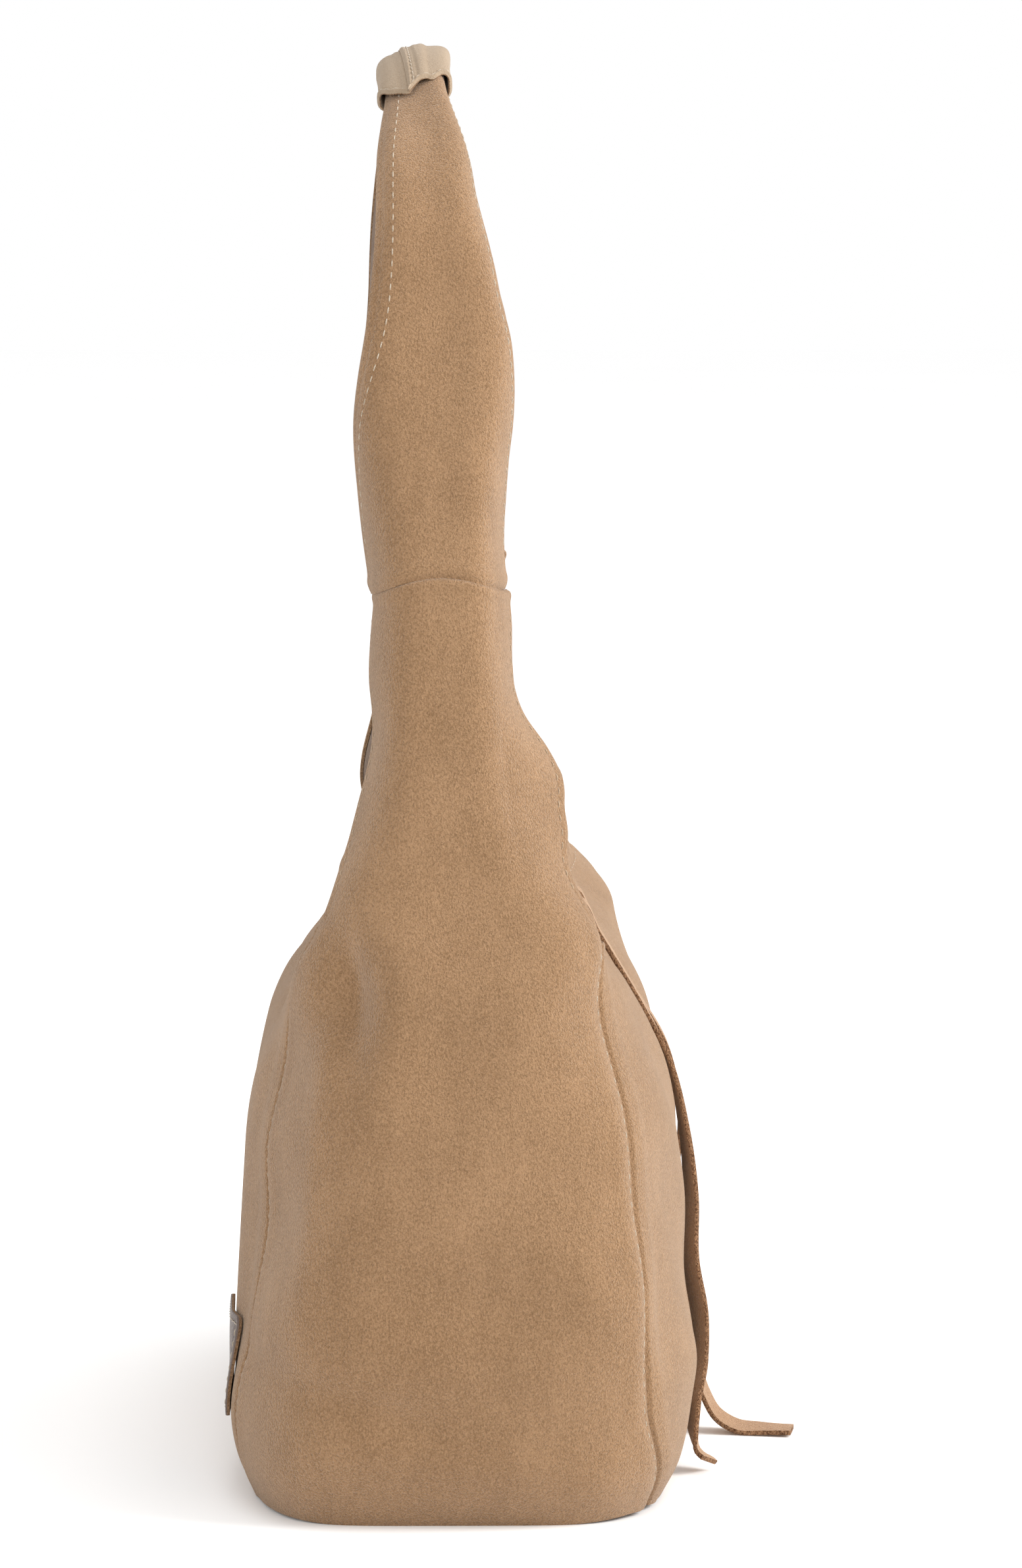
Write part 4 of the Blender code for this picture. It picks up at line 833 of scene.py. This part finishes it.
points, normals = on_back(*patch_outline(PATCH_CORNER, 70, 56))
relief = PATCH_STAND_OFF + PATCH_THICKNESS + cut_relief(from_border(points))
finishes = (patch_leather, cut_suede)
made = relieved(
    "back_patch_leather", points, normals, relief, -PATCH_STAND_OFF, finishes, "bag", "patch"
)
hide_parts("back_patch")
side, one = np.linspace(-1, 1, 60), np.ones(60)
across = np.concatenate([side, one, -side, -one]) * (PATCH_WIDTH / 2 - PATCH_STITCH_INSET)
up = np.concatenate([-one, side, one, -side]) * (PATCH_HEIGHT / 2 - PATCH_STITCH_INSET)
points, normals = on_back(across, up)
points = points + normals * (PATCH_STAND_OFF + PATCH_THICKNESS)
stitches("back_patch_stitches", points, normals, "bag", "patch", 0.0042, sink=0.0002)

# ---- Strap ---------------------------------------------------------------------------------------
# Two suede halves, sewn to the necks' round tops and to each other under the sleeve, each backed
# with a grey-brown leather ply that shows as a thin line along its cut edge. The back edge is
# topstitched, and the front edge folds softly under.
STRAP_WIDTH = 0.0550
STRAP_GRIP_WIDTH = 0.0246
STRAP_TOP_HEIGHT = 0.5170
STRAP_TOP_RADIUS = 0.095
STRAP_LEAN = 0.0155
STRAP_DEPTH_FOLDED = 0.011
STRAP_SECTION_DEPTH = 0.030
STRAP_WIDTHS = [(0.31, 1.0), (0.48, 0.90), (0.62, 0.72)]
SLEEVE_HALF_LENGTH = 0.052
STRAP_SUEDE = 0.0016
STRAP_BACKING = 0.0012
SEAM_TUCK = 0.0002
SEAM_HALF_LENGTH = float(section(np.array(SEAM_HEIGHT))[0])
leg_rise = STRAP_TOP_HEIGHT - STRAP_TOP_RADIUS - SEAM_HEIGHT
STRAP_SLOPE = math.atan2(SEAM_HALF_LENGTH, leg_rise)
STRAP_SLOPE -= math.asin(STRAP_TOP_RADIUS / math.hypot(SEAM_HALF_LENGTH, leg_rise))
STRAP_HALF = math.sqrt(SEAM_HALF_LENGTH**2 + leg_rise**2 - STRAP_TOP_RADIUS**2)
STRAP_HALF += STRAP_TOP_RADIUS * (math.pi / 2 - STRAP_SLOPE)
strap_widths = [(0.0, NECK_WIDTH / 2)]
strap_widths += [(place * STRAP_HALF, share * STRAP_WIDTH / 2) for place, share in STRAP_WIDTHS]
grip_start = STRAP_HALF - 0.9 * SLEEVE_HALF_LENGTH
strap_widths += [(grip_start, STRAP_GRIP_WIDTH / 2), (STRAP_HALF, STRAP_GRIP_WIDTH / 2)]
strap_half_width = smooth_curve(strap_widths)
# (distance up from the seam, how far back the edge stands from the even outline): the front edge
# of both legs, then the back edge of each
FRONT_EDGE = [(0.0, 0.0007), (0.019, 0.0022), (0.033, 0.0018), (0.046, 0.0009), (0.058, -0.0007)]
FRONT_EDGE += [(0.073, -0.0018), (0.086, -0.0018), (0.100, 0.0), (0.115, 0.0007), (0.129, 0.0011)]
FRONT_EDGE += [(0.143, 0.0009), (0.160, -0.0005), (0.190, 0.0)]
LEFT_BACK_EDGE = [(0.0, 0.0020), (0.019, 0.0037), (0.033, 0.0044), (0.058, 0.0046), (0.073, 0.0027)]
LEFT_BACK_EDGE += [(0.086, 0.0007), (0.100, -0.0010), (0.115, -0.0023), (0.129, -0.0025)]
LEFT_BACK_EDGE += [(0.143, -0.0018), (0.160, -0.0007), (0.180, 0.0)]
RIGHT_BACK_EDGE = [(0.0, 0.0020), (0.033, 0.0040), (0.060, 0.0048), (0.090, 0.0026)]
RIGHT_BACK_EDGE += [(0.130, 0.0014), (0.185, 0.0)]
strap_front_edge = smooth_curve(FRONT_EDGE)
strap_back_edges = {-1: smooth_curve(LEFT_BACK_EDGE), 1: smooth_curve(RIGHT_BACK_EDGE)}


def strap_spine(s):
    """Place and inward direction, in X and Z, of the left leg's outer face, s up from its seam: a
    straight leg, then an arc over the top."""
    slope_sin, slope_cos = math.sin(STRAP_SLOPE), math.cos(STRAP_SLOPE)
    bend_from = STRAP_HALF - STRAP_TOP_RADIUS * (math.pi / 2 - STRAP_SLOPE)
    turn = STRAP_SLOPE + np.maximum(s - bend_from, 0.0) / STRAP_TOP_RADIUS
    leg = np.minimum(s, bend_from)
    x = -SEAM_HALF_LENGTH + leg * slope_sin + STRAP_TOP_RADIUS * (slope_cos - np.cos(turn))
    z = SEAM_HEIGHT + leg * slope_cos + STRAP_TOP_RADIUS * (np.sin(turn) - slope_sin)
    return x, z, np.cos(turn), -np.sin(turn)


def strap_middle(s):
    """How far back the strap's middle stands, s up from its seam."""
    return NECK_SHIFT + (STRAP_LEAN - NECK_SHIFT) * ease(s, 0.0, STRAP_HALF)


def rolled(y, z, s):
    """Heights of the strap's points after its top rolls back, a fifth down for each step back."""
    return z - 0.20 * (y - strap_middle(s)) * ease(s, 0.13, 0.22)


def strap_surface(end):
    """The left (end -1) or right (end 1) half by across, front edge -1 to back edge 1, and s up from
    the seam: part of a superellipse that goes from the neck's own curve to a folded strip."""

    def surface(across, s):
        x, z, in_x, in_z = strap_spine(s)
        folded = ease(s, 0.02 * STRAP_HALF, 0.42 * STRAP_HALF)
        stretch = 1 / math.cos(STRAP_SLOPE)
        a = SEAM_HALF_LENGTH * stretch * (1 - folded) + STRAP_SECTION_DEPTH * folded
        depth = edge_distance(1.0) * stretch * (1 - folded) + STRAP_DEPTH_FOLDED * folded
        b, n = strap_half_width(s), squareness(1.0)
        edge_in = a - depth
        edge_out = b * (1 - (edge_in / a) ** n) ** (1 / n)
        opened = across - 0.22 * folded * np.clip(across, 0.0, 1.2) ** 2
        angle = opened * np.arctan2(edge_out, edge_in)
        radius = ((np.cos(angle) / a) ** n + np.abs(np.sin(angle) / b) ** n) ** (-1 / n)
        inward = a - radius * np.cos(angle)
        wave = 0.0006 * np.sin(31 * s + 2.6 * across) + 0.0005 * np.sin(74 * s - 1.9 * across + 1.0)
        channel = 0.0016 * bell(across, -0.12, 0.35) * bell(s, 0.62 * STRAP_HALF, 0.05)
        inward = inward + ease(s, 0.01, 0.05) * (wave + channel)
        y = strap_middle(s) + radius * np.sin(angle)
        z = rolled(y, z + in_z * inward, s)
        y = y + ease(across, 0.1, 0.8) * strap_back_edges[end](s)
        y = y + ease(-across, 0.1, 0.8) * strap_front_edge(s)
        return np.stack([-end * (x + in_x * inward), y, z], axis=-1)

    return surface


def under_bend(points):
    """Points under the strap's bend, inside its fold."""
    return points * (0.8, 0.0, 1.0) + (0.0, STRAP_LEAN / 2, -0.03)


def strap_start(surface, across):
    """How far up its own length the strap begins at each place across, to follow the round neck."""
    s = 0 * across
    for _ in range(8):
        _, y, z = np.moveaxis(surface(across, s), -1, 0)
        from_axis = np.hypot(y - NECK_SHIFT, z - (SEAM_HEIGHT - SEAM_RADIUS))
        s = s + (SEAM_RADIUS - SEAM_TUCK - from_axis)
    return s


def strap_grid(surface, columns, rows):
    """Points and normals of a half over these columns, from its round start up to the middle."""
    start = strap_start(surface, columns)
    u, share = np.meshgrid(columns, rows)
    return skin(surface, u, start + (STRAP_HALF - SEAM_GAP / 2 - start) * share, under_bend)


for end, surface in (("left", strap_surface(-1)), ("right", strap_surface(1))):
    points, normals = strap_grid(surface, crowded(-1, 1, 110), crowded(0, 1, 190))
    foot = np.linalg.norm(points - points[:1], axis=-1)
    relief = cut_relief(from_ends(points))
    relief += 0.0005 * bell(foot, 0.0040, 0.0022) - 0.0006 * bell(foot, 0.0, 0.0012)
    name, finishes = f"strap_{end}_suede", (suede, cut_suede)
    made = relieved(name, points, normals, relief, STRAP_SUEDE, finishes, None, "suede")
    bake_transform(made)
    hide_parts("strap_" + end)
    points, normals = strap_grid(surface, np.linspace(-1.035, 1.05, 70), np.linspace(0.002, 1, 120))
    low = STRAP_SUEDE + 0.0001
    outer, inner = points - normals * low, points - normals * (low + STRAP_BACKING)
    name = f"strap_{end}_backing"
    made = closed_shell(name, outer, inner, (facing, facing), None, "facing")
    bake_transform(made)
    run = np.linspace(0.014, STRAP_HALF - SLEEVE_HALF_LENGTH + 0.002, 400)
    for side, edge, inset in (("back", 1, 0.0085), ("front", -1, 0.0050)):
        line = inset_line(surface, edge, run, inset, under_bend)
        made = stitches(f"strap_{end}_{side}_stitches", *line, None, "suede", 0.0042, sink=0.0002)
        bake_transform(made)

# ---- Strap sleeve --------------------------------------------------------------------------------
# A wrap of finely brushed nubuck that covers the join at the strap's top. Its folded edge laps over
# the other and is topstitched, and its two open ends are hemmed, with a bar of thread at the notch.
SLEEVE_WALL = 0.0011
SLEEVE_START = -0.044
SLEEVE_LAP = 0.10
SLEEVE_SQUARENESS = 3.4
SLEEVE_PITCH = 0.0036
SLEEVE_HEM = 0.0024

nubuck_dark, nubuck_light = paint(0.255, 0.184, 0.122), paint(0.385, 0.296, 0.210)
nubuck = suede_finish("brushed_nubuck", nubuck_dark, nubuck_light, 0.4, 0.2)


def sleeve_surface(turn, s):
    """The sleeve by turn, once round from its lap and a little over, and s, from its left end through
    the top, 0, to its right end: a superellipse round the strap whose lap stands one ply higher."""
    up = STRAP_HALF - np.abs(s)
    x, z, in_x, in_z = strap_spine(up)
    lap = ease(turn, 0.90, 1.0)
    grow = 0.0003 + SLEEVE_WALL * 1.15 * lap
    a, b = STRAP_DEPTH_FOLDED / 2 + grow, strap_half_width(up) + grow
    angle, n = 2 * math.pi * (turn + SLEEVE_START), SLEEVE_SQUARENESS
    radius = ((np.abs(np.cos(angle)) / a) ** n + (np.abs(np.sin(angle)) / b) ** n) ** (-1 / n)
    inward = STRAP_DEPTH_FOLDED / 2 - radius * np.cos(angle)
    y = strap_middle(up) + radius * np.sin(angle)
    side = np.where(s < 0, 1, -1)
    return np.stack([side * (x + in_x * inward), y, rolled(y, z + in_z * inward, up)], axis=-1)


# (turn, how far the open end lies from the strap's top): it dips at the sides and rises over the face
SLEEVE_END = [(0.0, 0.0465), (0.06, 0.0505), (0.10, 0.0540), (0.175, 0.0533), (0.215, 0.0520)]
SLEEVE_END += [(0.25, 0.0478), (0.294, 0.0460), (0.5, 0.0450), (0.79, 0.0425), (0.83, 0.0418)]
SLEEVE_END += [(0.865, 0.0425), (0.90, 0.0466), (0.95, 0.0468), (1.0, 0.0482), (1.06, 0.0520)]
SLEEVE_END += [(1.10, 0.0550), (1.15, 0.0555)]
sleeve_end = smooth_curve(SLEEVE_END)


def lap_edge(run):
    """Where the lap ends, as a turn, by run from the left end -1 to the right end 1."""
    return 1.0 + SLEEVE_LAP + 0.05 * (1 - np.abs(run))


def sleeve_inside(points):
    """Points within the strap's fold, straight under the sleeve's outer face."""
    centre = STRAP_TOP_HEIGHT - STRAP_TOP_RADIUS
    angle = np.arctan2(points[..., 0], points[..., 2] - centre)
    radius = STRAP_TOP_RADIUS - STRAP_DEPTH_FOLDED / 2
    x, z = radius * np.sin(angle), centre + radius * np.cos(angle)
    return np.stack([x, np.full_like(angle, STRAP_LEAN), z], -1)


def sleeve_stitches(name, turn, s, pitch=SLEEVE_PITCH, radius=FINE_THREAD_RADIUS, sink=0.0001, **look):
    points, normals = skin(sleeve_surface, turn, s, sleeve_inside)
    points = points + normals * SLEEVE_WALL
    stitches(name, points, normals, "strap", "brushed_suede", pitch, radius, sink, **look)


share, run = np.meshgrid(crowded(0.0, 1.0, 150), crowded(-1, 1, 130))
u = share * lap_edge(run)
points, normals = skin(sleeve_surface, u, run * sleeve_end(u), sleeve_inside)
d = from_border(points)
relief = SLEEVE_WALL - 0.0007 * bell(d, 0.0, 0.0008) + 0.0003 * bell(d, 0.0016, 0.0010)
relief -= 0.0002 * bell(d, 0.0030, 0.0008)
name, finishes = "strap_sleeve_nubuck", (nubuck, cut_suede)
made = relieved(name, points, normals, relief, 0.0, finishes, "strap", "brushed_suede")
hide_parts("strap_sleeve")
run = np.linspace(-0.95, 0.95, 300)
lap_line = lap_edge(run) - 0.050
sleeve_stitches("sleeve_lap_stitches", lap_line, run * sleeve_end(lap_line))
around, bar = np.linspace(0.02, 1.08, 400), np.linspace(-0.022, 0.022, 40)
for end, side in (("left", -1), ("right", 1)):
    hem = side * (sleeve_end(around) - SLEEVE_HEM)
    sleeve_stitches(end + "_sleeve_hem_stitches", around, hem)
    for shift in (0.0004, 0.0010):
        name = f"{end}_sleeve_bar_{shift * 1e4:.0f}"
        bar_run = side * (0.0540 - shift + 0.12 * bar)
        sleeve_stitches(name, 1.09 + bar, bar_run, 0.0030, 0.00018, -0.0001, finish=tan_thread)

# ---- Ties ----------------------------------------------------------------------------------------
# Two long flat suede laces, cut raw, so their edges are dark and fibrous. One is sewn inside the
# front rim and one inside the back rim, and both hang over the front rim down to the floor.
TIE_WIDTH = 0.011
TIE_THICKNESS = 0.0018
TIE_GAP = 0.0008
TIE_FOLD = 0.0040


def evenly_spaced(points, step):
    """Points about step apart along a smooth curve through these."""
    points = np.array(points, float)
    place = np.append(0, np.linalg.norm(np.diff(points, axis=0), axis=1).cumsum())
    along = np.linspace(0, place[-1], int(place[-1] / step) + 1)
    return np.stack([smooth_curve(list(zip(place, values)))(along) for values in points.T], axis=1)


def down_the_front(x_top, x_low, stand_off):
    """Points down the front panel's face, stand_off from it, drifting along the bag on the way."""
    levels = np.array([0.955, 0.90, 0.82, 0.72, 0.60, 0.48, 0.36, 0.26, 0.19]) * RIM_HEIGHT
    x = x_top + (x_low - x_top) * (RIM_HEIGHT - levels) / RIM_HEIGHT
    points, normals = skin(panels["front"], x / seam_x(levels, -1), levels / RIM_HEIGHT, bag_axis)
    return list(map(tuple, points + normals * stand_off))


rim_front = panels["front"](np.array(0.0), np.array(1.0))[1]
rim_back = panels["back"](np.array(0.0), np.array(1.0))[1]
root = SUEDE + FACING + 0.0006 + TIE_THICKNESS / 2
off = TIE_THICKNESS / 2 + TIE_GAP
x = -0.026
back_route = [
    (x, rim_back - root, 0.1800),
    (x, rim_back - root - 0.0035, 0.1895),
    (x, rim_back - root - 0.0120, 0.1970),
    (x, (rim_front + rim_back) / 2, 0.1955),
    (x, rim_front + 0.0160, 0.2010),
    (x, rim_front + 0.0055, 0.2056),
    (x, rim_front - 0.0010, 0.2050),
]
back_route += down_the_front(x, -0.066, off + 0.0016)
back_route += [(-0.068, -0.0868, 0.0240), (-0.071, -0.0872, 0.0135)]
back_route += [(-0.0745, -0.0888, 0.0080), (-0.0785, -0.0925, 0.0050)]
x = 0.004
front_route = [(x, rim_front + root + 0.0008, 0.1800), (x, rim_front + 0.0051, 0.1920)]
turn = np.array([0.0, 0.8, 1.57, 2.3, 2.9])
over_y, over_z = rim_front + 0.0012 + TIE_FOLD * np.cos(turn), 0.2010 + TIE_FOLD * np.sin(turn)
front_route += [(x, y, z) for y, z in zip(over_y, over_z)]
front_route += down_the_front(x, -0.012, off)
front_route += [(-0.0125, -0.0905, 0.0260), (-0.0140, -0.0940, 0.0142), (-0.0155, -0.0985, 0.0066)]
front_route += [(-0.0170, -0.1057, 0.0024), (-0.0185, -0.1150, 0.0018), (-0.0206, -0.1265, 0.0018)]

lace = suede_finish("suede_lace", paint(0.300, 0.165, 0.085), paint(0.480, 0.300, 0.175), 0.8)
edge_dark, edge_light = paint(0.095, 0.042, 0.020), paint(0.400, 0.225, 0.120)
lace_edge = suede_finish("suede_lace_edge", edge_dark, edge_light, 1.4, 0.05)


def lace_rings(path, width, thickness, twist):
    """A flat lace's rounded oblong outline carried along a path, its width kept level with the bag's
    length where it can be, then turned by twist."""
    ahead = np.gradient(path, axis=0)
    ahead /= np.linalg.norm(ahead, axis=1, keepdims=True)
    aside = np.array([1.0, 0.0, 0.0]) - ahead * ahead[:, :1]
    aside /= np.linalg.norm(aside, axis=1, keepdims=True)
    up = np.cross(ahead, aside)
    c, s = np.cos(twist)[:, None], np.sin(twist)[:, None]
    aside, up = c * aside + s * up, c * up - s * aside
    w, t = width / 2, thickness / 2
    profile = [(w, -0.45 * t), (w, 0.45 * t), (w - 0.35 * t, t), (0.4 * w, t)]
    profile = np.array(profile + [(-0.4 * w, t), (-w + 0.35 * t, t)])
    profile = np.concatenate([profile, -profile])[None]
    return path[:, None] + profile[..., :1] * aside[:, None] + profile[..., 1:] * up[:, None]


for node, route, bend in (("front_tie", front_route, 0.22), ("back_tie", back_route, -0.5)):
    path = evenly_spaced(route, 0.0018)
    share = np.linspace(0, 1, len(path))
    twist = bend * (ease(share, 0.40, 0.8) - ease(share, 0.9, 1.0))
    rings = lace_rings(path, TIE_WIDTH, TIE_THICKNESS, twist)
    count, around = rings.shape[:2]
    index = np.arange(count * around).reshape(count, around)
    after = np.roll(index, -1, 1)
    side = np.stack([index[:-1], after[:-1], after[1:], index[1:]], -1)
    is_edge = np.zeros((count - 1, around), int)
    is_edge[:, [0, 1, 5, 6, 7, 11]] = 1
    cap = np.array([[0, 1, 2, 11], [11, 2, 3, 10], [10, 3, 4, 9], [9, 4, 5, 8], [8, 5, 6, 7]])
    quads = np.concatenate([side.reshape(-1, 4), index[0][cap[:, ::-1]], index[-1][cap]])
    facing_way = np.cross(rings[0, 1] - rings[0, 0], rings[1, 0] - rings[0, 0])
    if facing_way @ (rings[0, 0] - path[0]) < 0:
        quads = quads[:, ::-1]
    second, finishes = np.append(is_edge.ravel(), np.ones(2 * len(cap), int)), (lace, lace_edge)
    points = rings.reshape(-1, 3)
    made = piece(node + "_lace", points, quads, finishes, "bag", "suede", None, second)
    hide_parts(node)

# ---- Inner pockets and zip -----------------------------------------------------------------------
# Inside the front hangs an open slip pocket of the lining's cotton. Inside the back is a zipped
# pocket: a cotton sheet with a leather-framed window, brass chain on woven tape, and a brass slider.
POCKET_SHEET = 0.0007
SLIP_HALF_WIDTH = 0.065
SLIP_LOW = 0.055
SLIP_HIGH = 0.145
SLIP_HEM = 0.010

columns, rows = np.linspace(-SLIP_HALF_WIDTH, SLIP_HALF_WIDTH, 90), np.linspace(SLIP_LOW, SLIP_HIGH, 60)
u, v = np.meshgrid(columns, rows)
points, normals = skin(panels["front"], u / seam_x(v, -1), v / RIM_CORNER_HEIGHT, bag_axis)
across = np.cos(np.clip(u / SLIP_HALF_WIDTH, -1, 1) * math.pi / 2) ** 0.7
gape = 0.0035 * ease(v, 0.09, SLIP_HIGH) * across
hemmed = 0.0004 * ease(v, SLIP_HIGH - SLIP_HEM, SLIP_HIGH - SLIP_HEM + 0.001)
depth = BEHIND_SUEDE + LINING + 0.0003 + gape
outer = points - normals * depth[..., None]
inner = points - normals * (depth + POCKET_SHEET + hemmed)[..., None]
made = closed_shell("slip_pocket_cloth", outer, inner, (lining, lining), "bag", "lining")
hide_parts("slip_pocket")

tape = Finish("zip_tape", Roughness=0.85)
diagonal = {"wave_type": "BANDS", "bands_direction": "DIAGONAL"}
sockets = {"Vector": tape.place(), "Scale": 700.0, "Distortion": 0.4}
ribs = tape.node("ShaderNodeTexWave", diagonal, sockets)
tape.colour(tape.mix(ribs, paint(0.20, 0.135, 0.085), paint(0.33, 0.235, 0.155)))
tape.relief(ribs, 0.0001, 0.7)
brass = Finish("brushed_brass", Metallic=1.0)
scuffs = brass.noise(brass.place((1.0, 9.0, 9.0)), 380.0, 3.0)
brass.colour(brass.mix(scuffs, paint(0.62, 0.46, 0.20), paint(0.80, 0.64, 0.34)))
brass.roughness(0.22 + scuffs * 0.22)
brass.relief(scuffs, 0.00003, 0.4)
for half in ("tape_lower", "tape_upper"):
    refinish("zip_" + half, tape)
for metal in ("chain_lower", "chain_upper", "stop_left", "stop_right", "slider", "puller"):
    refinish("zip_" + metal, brass)

POCKET_CORNER = (0.0, 0.076538, 0.050)
POCKET_UP = (0.0, -0.083873, 0.996476)
POCKET_IN = (0.0, -0.996476, -0.083873)
CHAIN_HEIGHT = 0.072
# (half width, low edge, high edge), along and up the pocket's sheet
POCKET_OUTLINE = (0.080, 0.0, 0.092)
WINDOW = (0.066, CHAIN_HEIGHT - 0.0065, CHAIN_HEIGHT + 0.0065)
FRAME_BORDER = 0.0065


def on_pocket(across, up, off_wall):
    """Points of the zip pocket by place across, up its sheet and into the bag off it."""
    up, off_wall = up[..., None] * np.array(POCKET_UP), off_wall[..., None] * np.array(POCKET_IN)
    return across[..., None] * np.array((1.0, 0.0, 0.0)) + up + off_wall + np.array(POCKET_CORNER)


def grown(outline, by):
    half_width, low, high = outline
    return half_width + by, low - by, high + by


def around(outline, count=80):
    """Points round a rectangle from its low left corner back to it, as many on each side."""
    half_width, low, high = outline
    share, one = np.linspace(0, 1, count, endpoint=False), np.ones(count)
    across = np.concatenate([share * 2 - 1, one, 1 - share * 2, -one, [-1.0]]) * half_width
    rise = (high - low) * share
    up = np.concatenate([one * low, low + rise, one * high, high - rise, [low]])
    return across, up


def framed(name, outline, off_wall, thickness, rings, sag, finish, slot):
    """A sheet in rings from the zip's window out to a rectangle, which sags below the window."""
    near, far = around(WINDOW), around(outline)
    share = np.linspace(0, 1, rings)[:, None]
    across, up = (near[k] + (far[k] - near[k]) * share for k in (0, 1))
    ripple = (0.6 + 0.4 * np.sin(95 * across + 30 * up)) * (1 - ease(up, 0.040, 0.060))
    ripple *= ease(up, 0.0, 0.012) * (1 - ease(np.abs(across), 0.06, 0.079))
    off = off_wall + sag * ripple
    front, back = on_pocket(across, up, off + thickness), on_pocket(across, up, off)
    return closed_shell(name, front, back, (finish, finish), "bag", slot)


made = framed("zip_pocket_cloth", POCKET_OUTLINE, 0.0, 0.0008, 30, 0.0016, lining, "lining")
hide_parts("zip_pocket")
outline = grown(WINDOW, FRAME_BORDER)
made = framed("zip_frame_leather", outline, 0.0022, 0.0012, 6, 0.0, facing, "facing")
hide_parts("zip_frame")
for name, outline, off_wall in (
    ("zip_frame_stitches", grown(WINDOW, 0.0045), 0.0034),
    ("zip_pocket_stitches", grown(POCKET_OUTLINE, -0.003), 0.0008),
):
    across, up = around(outline)
    points = on_pocket(across, up, np.full_like(across, off_wall))
    normals = np.broadcast_to(POCKET_IN, points.shape)
    stitches(name, points, normals, "bag", "lining", 0.0042, FINE_THREAD_RADIUS, finish=tan_thread)
